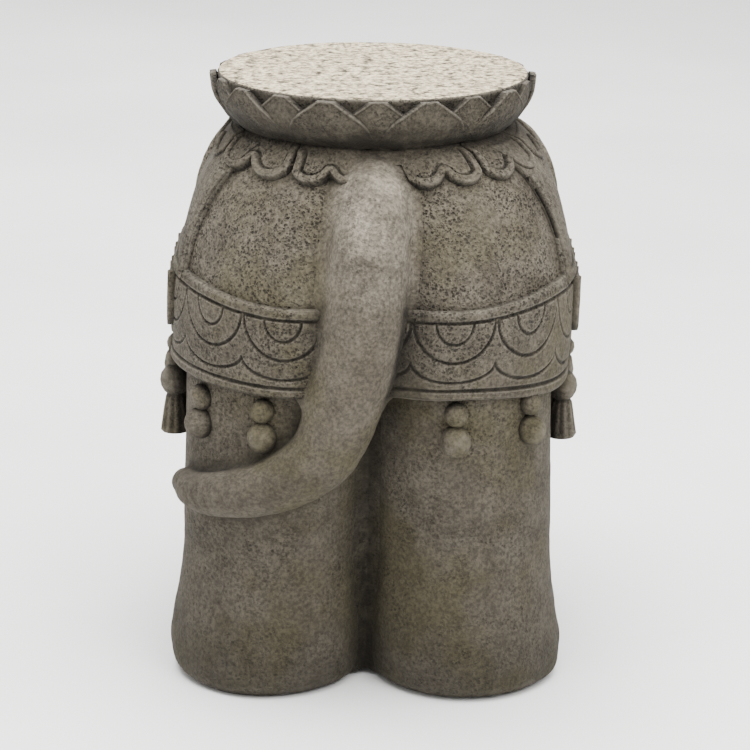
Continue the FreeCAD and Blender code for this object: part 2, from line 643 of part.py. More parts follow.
def make_flank(side_name, torso, core, band_ring, hind, fore):
    """What is on one flank: the web, the belly, the pendant tabs and the tassels."""
    side = SIDES[side_name]
    name = f"flank_web_{side_name}"
    stock = box("web", span(side, f"{CORE_HALF_WIDTH} - web_root", FLANK_WEB_FACE), (f"-{THIGH_Y}", THIGH_Y),
                ("web_ground_gap", "belt_height"))
    keep(name, cut(name, stock, core, hind, fore))
    bulge = ellipsoid("bulge", "belly_reach", "belly_half_length", "belly_drop",
                      f"{side} * {FLANK_WEB_FACE}", 0, "belt_height", facing(side))
    below = box("below", span(side, FLANK_WEB_FACE, FAR_X), (f"-{FAR_Y}", FAR_Y), ("0", "belt_height"))
    name = f"belly_{side_name}"
    belly = keep(name, cut(name, common(name, bulge, below), hind, fore))
    tabs, tassels = [], []
    tab_x = span(side, "body_half_width - tab_root", "body_half_width + band_relief + tab_relief")
    for spot in (-1, 0, 1):
        middle = f"{spot} * tassel_spacing"
        tab_y = (f"{middle} - tab_width / 2", f"{middle} + tab_width / 2")
        tab = box("tab", tab_x, tab_y, (f"{HEM_Z} - tab_length", HEM_Z))
        tabs.append(cut("tab_seated", tab, torso, band_ring))
        tassels.append(flank_tassel(side, spot, torso, band_ring, belly, hind, fore))
    keep(f"pendant_tabs_{side_name}", group("tabs", *tabs))
    keep(f"flank_tassels_{side_name}", group("tassels", *tassels))


def make_beads_and_nails(legs, tail):
    """Bead drops under the band on every leg, and toenails on the forefeet."""
    for (side_name, end_name), leg in legs.items():
        drops = []
        for angle in DROP_ANGLES[side_name, end_name]:
            drops += bead_drop(SIDES[side_name], ENDS[end_name], angle, leg, tail)
        keep(f"{end_name}_bead_drops_{side_name}", group("drops", *drops))
    for side_name, side in SIDES.items():
        nails = [toenail(side, angle, legs[side_name, "fore"]) for angle in TOENAIL_ANGLES]
        keep(f"toenails_{side_name}", group("nails", *nails))


def make_face(head, trunk, torso, collar, bands, legs):
    """Head, trunk, ears, tusks, eyes and the forehead plate."""
    keep("head", cut("head_seated", head, torso, collar))
    keep("trunk", cut("trunk_seated", trunk, head, torso, *legs.values()))
    eyes = []
    for side_name, side in SIDES.items():
        lean = Rotation(Vector(0, 0, 1), side * value("ear_lean")).multiply(facing(side))
        ear = ellipsoid("ear", "ear_length", "ear_thickness", "ear_drop",
                        f"{side} * (body_half_width - ear_set_in)", f"{FACE_Y} + skull_set_in",
                        f"{HEAD_Z} - ear_sink", lean)
        name = f"ear_{side_name}"
        keep(name, cut(name, ear, torso, head, bands[side_name, "fore"], collar))
        keep(f"tusk_{side_name}", cut("tusk_seated", tusk_form(side), head, trunk))
        eye = ball("eye", "eye_radius", f"{side} * eye_spread", f"{FACE_Y} - eye_reach", HEAD_Z, side)
        eyes.append(cut("eye_set", eye, head))
    keep("eyes", group("eye_pair", *eyes))
    plate = ellipsoid("plate", "plate_half_width", "plate_thickness", "plate_half_height",
                      0, f"{FACE_Y} - face_reach", f"{HEAD_Z} + plate_half_height * 0.7")
    keep("forehead_plate", cut("plate_seated", plate, head))


def make_seat(dowel_holes):
    """Mortar bed, lotus seat and its two rows of petals."""
    bed = cylinder("bed", "neck_radius - mortar_set_in", "mortar_thickness", z=BACK_TOP)
    keep("mortar_bed", cut("mortar_bed", bed, dowel_holes))
    seat = seat_profile("seat_core", "0", "0")
    keep("lotus_seat", cut("lotus_seat", seat, dowel_holes))
    inner = seat_profile("inner_petals", "petal_thickness", "petal_thickness / 2")
    outer = seat_profile("outer_petals", "2 * petal_thickness", "petal_thickness")
    half_pitch = 180 / value("petal_count")
    keep("lotus_petals_inner", cut("inner_row", inner, seat, petal_notches("inner_notch", half_pitch)))
    keep("lotus_petals_outer", cut("outer_row", outer, inner, seat, petal_notches("outer_notch", 0)))


def build():
    """Every sub-part of the stand, from the body outwards."""
    torso, core = body_form("torso_form"), core_form()
    dowel_holes = dowels("dowel_hole", "steel_clearance")
    bar_holes = bars("bar_hole", "steel_clearance")
    tail, head, trunk = tail_form(), head_form(), trunk_form()
    keep("torso_shell", cut("torso_shell", torso, core, dowel_holes, bar_holes))
    make_steel()
    legs = make_legs(core, bar_holes)
    webs = make_webs(core, legs)
    band_ring, bands = make_bands(torso, tail, head, trunk)
    collar = make_collar(torso)
    make_blankets(torso, collar)
    for side_name in SIDES:
        make_flank(side_name, torso, core, band_ring, legs[side_name, "hind"], legs[side_name, "fore"])
    make_beads_and_nails(legs, tail)
    keep("tail", cut("tail_seated", tail, torso, collar, legs["left", "hind"], legs["right", "hind"],
                     webs["hind"]))
    make_face(head, trunk, torso, collar, bands, legs)
    make_seat(dowel_holes)


def write_parts():
    """Check every object and sub-part, then write one file for each sub-part."""
    doc.recompute()
    failed = [item.Label for item in doc.Objects if {"Invalid", "Error"} & set(item.State)]
    failed += [item.Label for item in nodes if item.Shape.isNull() or not item.Shape.isValid()]
    failed += [item.Label for item in nodes if not item.Shape.Solids]
    if failed:
        raise RuntimeError("failed: " + ", ".join(failed))
    os.makedirs("parts", exist_ok=True)
    for item in nodes:
        shape = item.Shape
        shape.exportStep(f"parts/{item.Label}.step")
        print(f"{item.Label:24s} {len(shape.Solids):3d} solids {shape.Volume / 1000:10.1f} cm3")


fill_sheet()
build()
write_parts()
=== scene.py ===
"""Elephant plant stand in cast stone: the pieces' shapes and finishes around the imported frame."""
import math
from functools import partial
from itertools import product

import bpy
import numpy as np
from mathutils import Euler, Matrix, Vector


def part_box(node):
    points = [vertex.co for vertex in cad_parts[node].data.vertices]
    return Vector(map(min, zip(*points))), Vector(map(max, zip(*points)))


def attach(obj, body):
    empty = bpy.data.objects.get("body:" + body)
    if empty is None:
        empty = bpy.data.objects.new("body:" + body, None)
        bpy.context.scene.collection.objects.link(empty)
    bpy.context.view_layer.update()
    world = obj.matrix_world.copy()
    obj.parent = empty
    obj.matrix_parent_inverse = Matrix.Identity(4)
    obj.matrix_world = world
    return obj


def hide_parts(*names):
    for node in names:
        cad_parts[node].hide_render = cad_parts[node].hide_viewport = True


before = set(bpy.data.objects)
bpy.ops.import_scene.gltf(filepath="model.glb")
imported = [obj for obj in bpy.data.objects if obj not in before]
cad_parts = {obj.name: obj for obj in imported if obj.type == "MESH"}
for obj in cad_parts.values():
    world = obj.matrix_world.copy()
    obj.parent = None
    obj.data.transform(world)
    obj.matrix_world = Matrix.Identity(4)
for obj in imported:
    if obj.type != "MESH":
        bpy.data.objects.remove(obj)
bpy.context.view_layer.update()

bl_info = {
    "name": "Elephant Plant Stand",
    "version": (1, 0, 0),
    "blender": (4, 5, 0),
    "location": "View3D > Sidebar > Stand",
    "description": "Builds a cast stone elephant stand with a lotus seat",
    "category": "Object",
}

# Sizes in millimetres from the seat's axis, as the frame has them
SEAT_LOW, SEAT_HIGH = (np.array(corner) * 1000 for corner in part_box("lotus_seat"))
AXIS_Y = (SEAT_LOW[1] + SEAT_HIGH[1]) / 2
SEAT_TOP, SEAT_UNDER = SEAT_HIGH[2], SEAT_LOW[2]
BACK_TOP, BELT = 418.0, 241.0
HAUNCH = 290.0
HALF_WIDTH, HALF_LENGTH, CORNER, NECK = 149.0, 153.0, 110.0, 101.0
DOME_POWER = 0.75                # roundness of the back, 0.5 for an ellipse
BAND_TOP, HEM = 309.0, 312.0
CLOTH_HEM, CLOTH_TOP = 80.0, 72.0
THIGH_X, THIGH_Y, SPLAY = 73.0, 76.0, 4.0
REAR_WEB_Y, FLANK_WEB_X = 98.0, 104.0
CORE_WIDTH, CORE_LENGTH, CORE_CORNER, CORE_TOP, CORE_DRAFT = 72, 80, 40, 385, 8
RIM_TOP, RIM_LOW = 8.6, 60.4     # a harness band's engraved rims, from its upper edge
CLOTH_PROUD, CLOTH_SUNK = 4.2, 3.0
BORDER_WIDTH, BORDER_STEP = 9.0, 1.5
TAB_SPOTS, TAB_PITCH = (-1, 0, 1), 44
TASSEL_TOP = 252.5
NAIL_ANGLES, NAIL_REACH = (-48, -16, 16, 48), 74
SIDES = {"left": 1, "right": -1}
ENDS = {"hind": 1, "fore": -1}
COARSE = 4                       # fine cells to a coarse one when a form is sampled
TORSO_CELL = 2.15                # grid step of the torso, which has the most surface
STONE = "weathered_cast_stone_with_painted_shade"

# Stations: x, y, z and radius
TAIL = ((3, 100, 392, 19), (3, 121, 384, 25), (4, 141, 360, 28), (6, 152, 318, 28.5), (11, 152, 269, 28.5),
        (20, 152, 227, 27.5), (37, 152, 193.5, 24.6), (73, 150, 171, 21), (105, 142, 162, 18),
        (127, 124, 158, 14.6), (138.5, 102, 158, 11))
TRUNK = ((0, -165, 322, 40), (0, -178, 300, 38), (0, -189, 264, 36), (0, -188, 216, 31), (0, -183, 166, 26.6),
         (0, -179, 116, 23.4), (0, -181, 72, 20.5), (0, -194, 40, 17), (0, -210, 38, 13))
TUSK = ((27, -181, 280, 12), (33, -190, 262, 12), (40, -206, 244, 9.5), (46, -221, 237, 5))
LEG_RINGS = ((-6, 67, 1), (0, 68, 1), (3, 71, 1), (8.4, 73.9, 1), (28, 76, 1), (66.5, 72, 0.3), (105, 69.2, 0),
             (170, 69.4, 0), (250, 70, 0))

# Leg drawn in from the body's outline, and the body's lean to its right: heights, then distances
LEG_INSET = ((0, 40, 110, 200, BELT), (-20, -14, -6, 2, 4))
LEAN = ((BELT, 262, 300, 345, 395, 414, 420), (0, -2, -3, -4, -5, -3, 0))

# Face and belly: middle and half sizes of each ellipsoid, on the left side where there are two
SKULL = ((0, -145, 342), (78, 60, 70))
BROW = ((31, -174, 370), (42, 40, 42))
CHEEK = ((40, -172, 300), (34, 34, 40))
MUZZLE = ((0, -169, 290), (54, 44, 58))
LIP = ((0, -168, 246), (24, 28, 17))
PLATE = ((0, -199, 366), (26, 14, 34))
EYE, EYE_RADIUS, LID_HALF = (58, -184, 342), 7, (13, 9.5, 8.5)
EAR, EAR_HALF, EAR_TURN = (106, -145, 322), (52, 17, 74), math.radians(35)
BELLY_HALF = (44, 60, 96)

# Seat's core and a petal's half width, by the drop from the seat's top
SEAT_CURVE = ((0, 13, 17, 21, 26, 31, 35, 39), (119.5, 118, 116.9, 115.2, 112.3, 108.8, 105.2, 101))
PETAL_CURVE = ((0, 2, 5, 8, 11, 14, 17, 22, 28, 40), (4.5, 6.5, 10.5, 14.5, 18.5, 23, 26.5, 29.5, 31.5, 33))

# Painted shade and grime in hollows: how far off the surface a hollow is looked for, and its share
HOLLOWS = ((5, 0.25), (14, 0.3), (30, 0.25), (60, 0.2))
# Unevenness of the stone: size of the lumps and their share
LUMPS = ((46, 0.75), (15, 0.33), (5.5, 0.16))

# Beads of a drop: height, radius and how far the middle stands off the leg; angles of the drops on each leg
BEADS = ((228, 9.4, 2.2), (207.5, 11.8, 3.4))
DROP_ANGLES = {("left", "hind"): (5, 58), ("right", "hind"): (-6, 52), ("left", "fore"): (0, 56),
               ("right", "fore"): (0, 56)}
FIRST_SCALLOP = {("left", "hind"): 66, ("right", "hind"): 60, ("left", "fore"): 63, ("right", "fore"): 63}

# Lappets of the collar: where one ends and the next begins, in degrees from the tail, leaving the tail free
TAIL_GAP = (-9.5, 2.1)
LAPPET_ANGLES = (-180, -143.5, -107, -69.5, -37.9, *TAIL_GAP, 30.1, 66, 104, 142, 180)
GAP_PLACE = 5                    # lappets up to the gap
LAPPET_ENDS = (0, 1, 2, 3, 4, GAP_PLACE, GAP_PLACE, 6, 7, 8, 9, 10)
LAPPET_RADIUS = 126              # where a lappet's width is measured

# Stage, in metres: name, place, size and power of each lamp, then the camera
SKY, SKY_STRENGTH = (1.0, 0.99, 0.975, 1), 0.85
LAMPS = (("Key", (-1.6, 2.0, 2.6), 1.6, 74), ("Top", (0.1, 0.1, 3.2), 3.2, 330),
         ("Fill", (2.4, 1.6, 1.4), 2.0, 6), ("Back", (0.6, -2.6, 2.2), 2.0, 40))
LAMP_AIM = Vector((0, 0.02, 0.25))
FLOOR_REACH = 14.0
CAMERA_PLACE = (-0.0047, 2.2 + AXIS_Y / 1000, 0.876)
CAMERA_LENS, CAMERA_PITCH, CAMERA_ROLL = 139.2, 16.74, 0.8


def linear(code, alpha=None):
    """An sRGB hex colour as linear red, green and blue."""
    channels = [int(code[i:i + 2], 16) / 255 for i in (1, 3, 5)]
    values = [c / 12.92 if c <= 0.04045 else ((c + 0.055) / 1.055) ** 2.4 for c in channels]
    return tuple(values) if alpha is None else (*values, alpha)


def length(label, about, millimetres):
    """A size that a user may change, kept in metres."""
    return bpy.props.FloatProperty(name=label, description=about, default=millimetres / 1000, min=0,
                                   unit="LENGTH", subtype="DISTANCE", precision=4)


def colour(label, about, code):
    """A colour that a user may change."""
    return bpy.props.FloatVectorProperty(name=label, description=about, default=linear(code), size=3,
                                         min=0, max=1, subtype="COLOR")


def mm(label):
    """A size from the panel in millimetres."""
    return getattr(bpy.context.scene.stand_sizes, label) * 1000


class StandSizes(bpy.types.PropertyGroup):
    """Sizes of the carved detail."""
    cell: length("Cell", "Grid step of the rounded stone forms", 2)
    detail: length("Detail", "Grid step of the carved reliefs", 0.85)
    band_relief: length("Band relief", "Harness band standing proud of the body", 4.6)
    groove_width: length("Groove width", "Engraved line, edge to edge", 2.5)
    groove_depth: length("Groove depth", "Engraved line, top to bottom", 1.4)
    scallop_pitch: length("Scallop pitch", "Engraved scallop to the next along the band", 63)
    collar_drop: length("Collar drop", "Neck down the back to the tips of the collar", 30)
    roll_width: length("Rolled rim", "Width of the collar's rolled rim", 6.4)
    lobe_curve: bpy.props.FloatProperty(name="Lobe curve", description="Lobe's radius over half its width",
                                        default=1.18, min=1.02)
    petal_layer: length("Petal layer", "Thickness of one row of petals", 3)
    petal_edge: length("Petal edge", "Height of the bevelled edge round a petal", 0.5)
    tail_blend: length("Tail blend", "Fillet where the tail grows out of the rump", 18)
    lump_depth: length("Lumps", "Hand-shaped unevenness of the stone", 1.2)
    petal_count: bpy.props.IntProperty(name="Petals", description="Petals in one row", default=10, min=3)


class StandColours(bpy.types.PropertyGroup):
    """Colours of the stone, its weathering with painted shade and highlight, and the stage."""
    stone_light: colour("Light stone", "Dry raised stone", "#5d574c")
    stone_dark: colour("Dark stone", "Damp stone", "#39332a")
    # Painted shade and dirt: darkens hollows, grooves, downward faces, the lower body and the pits
    grime_and_shade: colour("Grime", "Dirt in the hollows", "#1a1712")
    moss: colour("Moss", "Olive growth", "#47422a")
    # Worn edges, also a painted highlight on convex edges and petal rims
    wear_and_highlight: colour("Worn edge", "Rubbed edges", "#8a8377")
    tail_wash: colour("Tail wash", "Drier stone of the tail", "#8d8578")
    sand: colour("Seat sand", "Sandy top of the seat", "#d6c6a8")
    sand_shade: colour("Seat grit", "Darker grit of the seat's top", "#443d31")
    mortar: colour("Mortar", "Lime mortar under the seat", "#6f695e")
    steel: colour("Steel", "Bare mild steel", "#8a8680")
    floor: colour("Floor", "Studio floor", "#fbfbfa")


# Forms: each gives a signed distance in millimetres, below zero inside the stone


def blend(a, b, size):
    """Union of two forms with a fillet of that size."""
    soft = np.maximum(size - np.abs(a - b), 0) / size
    return np.minimum(a, b) - soft * soft * size / 4


def filleted(form, ground, size):
    """A form with its fillet onto the ground that it grows from, sunk where the ground takes over."""
    return blend(form, ground, size) + 1.6 * np.clip((form / size - 0.35) / 0.4, 0, 1)


def ellipsoid(x, y, z, centre, half):
    """An ellipsoid."""
    px, py, pz = x - centre[0], y - centre[1], z - centre[2]
    near = np.sqrt((px / half[0]) ** 2 + (py / half[1]) ** 2 + (pz / half[2]) ** 2) + 1e-6
    steep = np.sqrt((px / half[0] ** 2) ** 2 + (py / half[1] ** 2) ** 2 + (pz / half[2] ** 2) ** 2) + 1e-9
    return near * (near - 1) / steep


def smooth_path(stations, steps):
    """Stations joined by a smooth curve, cut into short runs."""
    points = np.array(stations, float)
    ends = np.vstack([2 * points[0] - points[1], points, 2 * points[-1] - points[-2]])
    path = []
    for a, b, c, d in zip(ends[:-3], ends[1:-2], ends[2:-1], ends[3:]):
        for t in np.arange(steps) / steps:
            path.append(0.5 * (2 * b + (c - a) * t + (2 * a - 5 * b + 4 * c - d) * t ** 2
                               + (3 * b - a - 3 * c + d) * t ** 3))
    path.append(points[-1])
    return np.array(path)


def tube(x, y, z, path):
    """A round tube along a path, and how far along it each point lies."""
    best, along, run = None, None, 0.0
    for a, b in zip(path[:-1], path[1:]):
        step = b - a
        size = step[:3] @ step[:3]
        px, py, pz = x - a[0], y - a[1], z - a[2]
        t = np.clip((px * step[0] + py * step[1] + pz * step[2]) / size, 0, 1)
        gap = np.sqrt((px - t * step[0]) ** 2 + (py - t * step[1]) ** 2 + (pz - t * step[2]) ** 2)
        gap -= a[3] + t * step[3]
        place = run + t * math.sqrt(size)
        if best is None:
            best, along = gap, place
        else:
            along = np.where(gap < best, place, along)
            best = np.minimum(best, gap)
        run += math.sqrt(size)
    return best, along


TAIL_PATH, TRUNK_PATH = smooth_path(TAIL, 3), smooth_path(TRUNK, 3)
TUSK_PATH = smooth_path(TUSK, 3)


def section(z):
    """Half width, half length, corner radius and slope of the body at a height."""
    t = np.clip((z - HAUNCH) / (BACK_TOP - HAUNCH), 0, 0.993)
    bulge = (1 - t * t) ** DOME_POWER
    spread = HALF_WIDTH + HALF_LENGTH - 2 * NECK
    slope = spread * DOME_POWER * t * (1 - t * t) ** (DOME_POWER - 1) / (BACK_TOP - HAUNCH)
    corner = CORNER + (NECK - 1 - CORNER) * t * t
    return NECK + (HALF_WIDTH - NECK) * bulge, NECK + (HALF_LENGTH - NECK) * bulge, corner, slope


def lean(z):
    """The hand-carved body leans a little to its right between the belt and the neck."""
    return np.interp(z, *LEAN)


def rounded(x, y, half_width, half_length, corner):
    """Distance outside a rectangle with round corners."""
    qx, qy = np.abs(x) - half_width + corner, np.abs(y) - half_length + corner
    return np.hypot(np.maximum(qx, 0), np.maximum(qy, 0)) + np.minimum(np.maximum(qx, qy), 0) - corner


def body(x, y, z):
    """The body's outside without its top and its underside."""
    *sizes, slope = section(z)
    return rounded(x, y, *sizes) / np.sqrt(1 + slope * slope)


def cleft(x, y, z):
    """Depth of the hollow between the two cheeks, behind the tail."""
    return 15 * np.exp(-(x / 38) ** 2) * np.clip((y - 60) / 60, 0, 1) * np.clip((424 - z) / 60, 0, 1)


def torso(x, y, z):
    """The body, flat on top and below."""
    return np.maximum(np.maximum(body(x, y, z) + cleft(x, y, z), z - BACK_TOP), BELT - z)


def core(x, y, z):
    """The hollow inside, open at the floor."""
    draft = np.clip(z / CORE_TOP, 0, 1) * CORE_DRAFT
    return np.maximum(rounded(x, y, CORE_WIDTH - draft, CORE_LENGTH - draft, CORE_CORNER - draft), z - CORE_TOP)


def leg(x, y, z, side, end):
    """A leg with its flared foot, drawn in under the harness band."""
    heights, radii, splays = zip(*LEG_RINGS)
    fine = np.linspace(heights[0], heights[-1], 120)
    kernel = np.hanning(9) / np.hanning(9).sum()
    padded = [np.pad(np.interp(fine, heights, values), 4, mode="edge") for values in (radii, splays)]
    radius, splay = (np.interp(z, fine, np.convolve(values, kernel, "valid")) for values in padded)
    splay = splay * SPLAY
    flat = np.hypot(x - side * (THIGH_X + splay), y - end * (THIGH_Y + splay)) - radius
    inset = np.interp(z, *LEG_INSET)
    flat = -blend(-flat, -rounded(x, y, HALF_WIDTH, HALF_LENGTH, CORNER) - inset, 10)
    sole = np.maximum(flat, -z)
    rim = np.hypot(np.maximum(flat + 9, 0), np.maximum(9 - z, 0)) - 9
    return np.maximum(np.where((z < 9) & (flat > -9), np.maximum(rim, -z), sole), z - BELT - 3)


def legs(x, y, z, side=None, end=None):
    """The nearest leg of those on a side or at an end."""
    parts = [leg(x, y, z, s, e) for s in SIDES.values() for e in ENDS.values()
             if side in (None, s) and end in (None, e)]
    return np.minimum.reduce(parts)


def leg_reach(angle, z):
    """From a leg's axis out to its surface, at an angle from straight behind or ahead to its side."""
    reach = np.linspace(40, 90, 251)
    outside = leg(THIGH_X + reach * math.sin(angle), THIGH_Y + reach * math.cos(angle), np.full(251, z), 1, 1) > 0
    return reach[np.argmax(outside)]


def slab(value, low, high):
    """Distance outside a stretch of one axis."""
    return np.maximum(low - value, value - high)


def end_web(x, y, z, end):
    """The recessed stone between two legs at one end."""
    return np.maximum.reduce([np.abs(x) - THIGH_X, slab(end * y, 56, REAR_WEB_Y), slab(z, 5, BELT + 2)])


def flank_web(x, y, z, side):
    """The recessed stone between the legs of one side."""
    return np.maximum.reduce([slab(side * x, 56, FLANK_WEB_X), np.abs(y) - THIGH_Y, slab(z, 5, BELT + 2)])


def belly(x, y, z, side):
    """The bulge of the belly over a flank web."""
    bulge = ellipsoid(x, y, z, (side * FLANK_WEB_X, 0, BELT), BELLY_HALF)
    return np.maximum(bulge, z - BELT - 2)


def tail(x, y, z):
    """The tail."""
    return tube(x, y, z, TAIL_PATH)[0]


def trunk(x, y, z):
    """The trunk with shallow rings along it."""
    gap, along = tube(x, y, z, TRUNK_PATH)
    return gap + 1.1 * np.clip(np.cos(along * 2 * math.pi / 13) - 0.35, 0, 1) * np.clip(along / 60, 0, 1)


def head(x, y, z):
    """Skull, brows, cheeks, muzzle and lower lip."""
    ax = np.abs(x)
    skull, muzzle, lip = (ellipsoid(x, y, z, *sizes) for sizes in (SKULL, MUZZLE, LIP))
    brow, cheek = (ellipsoid(ax, y, z, *sizes) for sizes in (BROW, CHEEK))
    form = blend(blend(skull, brow, 14), blend(muzzle, cheek, 18), 22)
    return blend(form, lip, 12)


def ear(x, y, z, side):
    """A fan-shaped ear with a hollow face and a rolled edge."""
    cosine, sine = math.cos(EAR_TURN), math.sin(EAR_TURN)
    px, py, pz = side * x - EAR[0], y - EAR[1], z - EAR[2]
    across, deep = px * cosine + py * sine, -px * sine + py * cosine
    fan = ellipsoid(across, deep, pz, (0, 0, 0), EAR_HALF)
    spread = np.sqrt((across / EAR_HALF[0]) ** 2 + (pz / EAR_HALF[2]) ** 2)
    ripple = 1.6 * np.cos(spread * 16) * np.clip(spread - 0.2, 0, 1)
    hollow = np.clip((0.86 - spread) / 0.2, 0, 1) * 4.5 * (deep < 0)
    return fan + hollow + ripple * (deep < 0) * np.clip((0.9 - spread) / 0.2, 0, 1)


def eye(x, y, z):
    """Both eyes: a ball between two lids."""
    px, py, pz = np.abs(x) - EYE[0], y - EYE[1], z - EYE[2]
    ball = np.sqrt(px ** 2 + py ** 2 + pz ** 2) - EYE_RADIUS
    lid = ellipsoid(px, py, pz, (0, 0, 0), LID_HALF)
    return np.minimum(ball, np.maximum(lid, 3.4 - np.abs(pz + 0.6)))


def plate(x, y, z):
    """The forehead plate with a border and a boss."""
    middle, half = PLATE
    form = ellipsoid(x, y, z, middle, half)
    spread = np.hypot(x / half[0], (z - middle[2]) / half[2])
    return form + 2.2 * np.exp(-((spread - 0.72) / 0.08) ** 2) + 1.8 * np.exp(-((spread - 0.34) / 0.07) ** 2)


def seat_radius(z):
    """Radius of the seat's core at a height."""
    return np.interp(SEAT_TOP - z, *SEAT_CURVE)


def seat(x, y, z):
    """The seat with its petals, as one plain bowl."""
    return np.maximum(np.hypot(x, y) - seat_radius(z) - 4, slab(z, SEAT_UNDER, SEAT_TOP)) * 0.9


def seated(form, ground, sink):
    """A form cut off where it lies deeper than that in the ground it sits on."""
    return lambda x, y, z: np.maximum(form(x, y, z), -(ground(x, y, z) + sink))


def stand(x, y, z):
    """The whole stand, for finding hollows that are painted darker with shade and dirt."""
    shell = body(x, y, z)
    band = np.maximum(shell - 5, slab(z, BELT, BAND_TOP))
    collar = np.maximum(shell - 4, np.maximum(np.hypot(x, y) - 128, slab(z, 398, BACK_TOP)))
    ax = np.abs(x)
    cloth = np.maximum(shell - 6, np.maximum(np.abs(y) - CLOTH_HEM, slab(z, HEM, BACK_TOP)))
    forms = [torso(x, y, z), band, collar, cloth, legs(x, y, z), end_web(x, y, z, 1), end_web(x, y, z, -1),
             flank_web(ax, y, z, 1), belly(ax, y, z, 1), tail(x, y, z), seat(x, y, z), head(x, y, z),
             tube(x, y, z, TRUNK_PATH[::3])[0], ear(ax, y, z, 1)]
    return np.minimum.reduce(forms)


# Meshes from forms

CORNERS = tuple(product((0, 1), repeat=3))


def sample(form, low, high, step):
    """Values of a form on a grid: cells far from its surface keep a coarse value."""
    low = np.array(low, float) - 2.37 * step
    counts = np.ceil((np.array(high) + 2.5 * step - low) / (step * COARSE)).astype(int) + 1
    axes = [low[i] + step * COARSE * np.arange(counts[i]) for i in range(3)]
    rough = form(*np.meshgrid(*axes, indexing="ij"))
    near = np.full(tuple(counts - 1), np.inf)
    for i, j, k in CORNERS:
        corner = rough[i:counts[0] - 1 + i, j:counts[1] - 1 + j, k:counts[2] - 1 + k]
        near = np.minimum(near, np.abs(corner))
    values = rough[:-1, :-1, :-1]
    mask = near < step * COARSE * 1.6
    for axis in range(3):
        values, mask = np.repeat(values, COARSE, axis), np.repeat(mask, COARSE, axis)
    spots = np.nonzero(mask)
    values = values.copy()
    values[spots] = form(*[low[i] + step * spots[i] for i in range(3)])
    return values, low


def net(form, low, high, step):
    """A closed mesh over a form's surface: corners and four-sided faces."""
    values, low = sample(form, low, high, step)
    inside = values < 0
    shape = np.array(values.shape) - 1
    count = np.zeros(shape, np.int8)
    for i, j, k in CORNERS:
        count += inside[i:shape[0] + i, j:shape[1] + j, k:shape[2] + k]
    active = (count > 0) & (count < 8)
    cells = np.argwhere(active)
    index = np.full(shape, -1, np.int64)
    index[active] = np.arange(len(cells))
    points, hits = np.zeros((len(cells), 3)), np.zeros(len(cells))
    for a in np.array(CORNERS):
        for axis in np.nonzero(a == 0)[0]:
            b = a.copy()
            b[axis] = 1
            va, vb = values[tuple((cells + a).T)], values[tuple((cells + b).T)]
            cross = (va < 0) != (vb < 0)
            t = va[cross] / (va[cross] - vb[cross])
            points[cross] += a + t[:, None] * (b - a)
            hits[cross] += 1
    points = (cells + points / hits[:, None]) * step + low
    faces = []
    for axis in range(3):
        u, v = (axis + 1) % 3, (axis + 2) % 3
        first, second = [slice(None)] * 3, [slice(None)] * 3
        first[axis], second[axis] = slice(0, -1), slice(1, None)
        edges = np.argwhere(inside[tuple(first)] != inside[tuple(second)])
        edges = edges[(edges[:, u] > 0) & (edges[:, v] > 0) & (edges[:, u] < shape[u]) & (edges[:, v] < shape[v])]
        du, dv = np.eye(3, dtype=int)[u], np.eye(3, dtype=int)[v]
        ring = np.stack([index[tuple((edges - back).T)] for back in (du + dv, dv, 0 * du, du)], 1)
        inward = ~inside[tuple(edges.T)]
        ring[inward] = ring[inward][:, ::-1]
        faces.append(ring)
    return points, np.vstack(faces)


def face_out(points, faces):
    """Faces turned so that a closed mesh has its outside outwards."""
    a, b, c = (points[faces[:, i]] for i in (0, 1, 2))
    d = points[faces[:, 3]]
    volume = np.einsum("ij,ij->", a, np.cross(b, c)) + np.einsum("ij,ij->", a, np.cross(c, d))
    return faces if volume > 0 else faces[:, ::-1]


def quads(grid):
    """Faces between neighbouring corners of a grid."""
    return np.stack([grid[:-1, :-1], grid[:-1, 1:], grid[1:, 1:], grid[1:, :-1]], -1).reshape(-1, 4)


def sheet_faces(rows, columns, wrap):
    """Faces of a closed sheet: a front and a back grid and the walls between their edges."""
    front = np.arange(rows * columns).reshape(rows, columns)
    back = front + rows * columns
    if wrap:
        front, back = (np.hstack([g, g[:, :1]]) for g in (front, back))

    def wall(one, two):
        return np.stack([one[:-1], two[:-1], two[1:], one[1:]], 1)

    faces = [quads(front), quads(back)[:, ::-1], wall(front[0], back[0]), wall(front[-1], back[-1])[:, ::-1]]
    if not wrap:
        faces += [wall(front[:, 0], back[:, 0])[:, ::-1], wall(front[:, -1], back[:, -1])]
    return np.vstack(faces)


def sheet(front, back, wrap=False):
    """A closed mesh between two grids of points."""
    rows, columns = front.shape[:2]
    points = np.vstack([front.reshape(-1, 3), back.reshape(-1, 3)])
    return points, face_out(points, sheet_faces(rows, columns, wrap))


BLOCK = 24                       # random numbers along a block's side


def lattice(seed):
    """A block of fixed random numbers."""
    return np.random.default_rng(seed).random((BLOCK, BLOCK, BLOCK)).astype(np.float32)


LATTICES = [lattice(seed) for seed in (11, 23, 37)]


def noise(points, size, block):
    """Smooth noise between -1 and 1 with lumps of that size in millimetres."""
    place = points / size + 100
    low = np.floor(place).astype(int)
    t = place - low
    t = t * t * (3 - 2 * t)
    total = 0
    for corner in CORNERS:
        weight = np.prod(np.where(corner, t, 1 - t), axis=1)
        total = total + weight * LATTICES[block][tuple(((low + corner) % BLOCK).T)]
    return total * 2 - 1


def corner_normals(points, faces):
    """Outward direction at every corner of a mesh."""
    across = np.cross(points[faces[:, 2]] - points[faces[:, 0]], points[faces[:, 3]] - points[faces[:, 1]])
    total = np.zeros_like(points)
    for i in range(4):
        for axis in range(3):
            total[:, axis] += np.bincount(faces[:, i], across[:, axis], len(points))
    return total / (np.linalg.norm(total, axis=1, keepdims=True) + 1e-12)


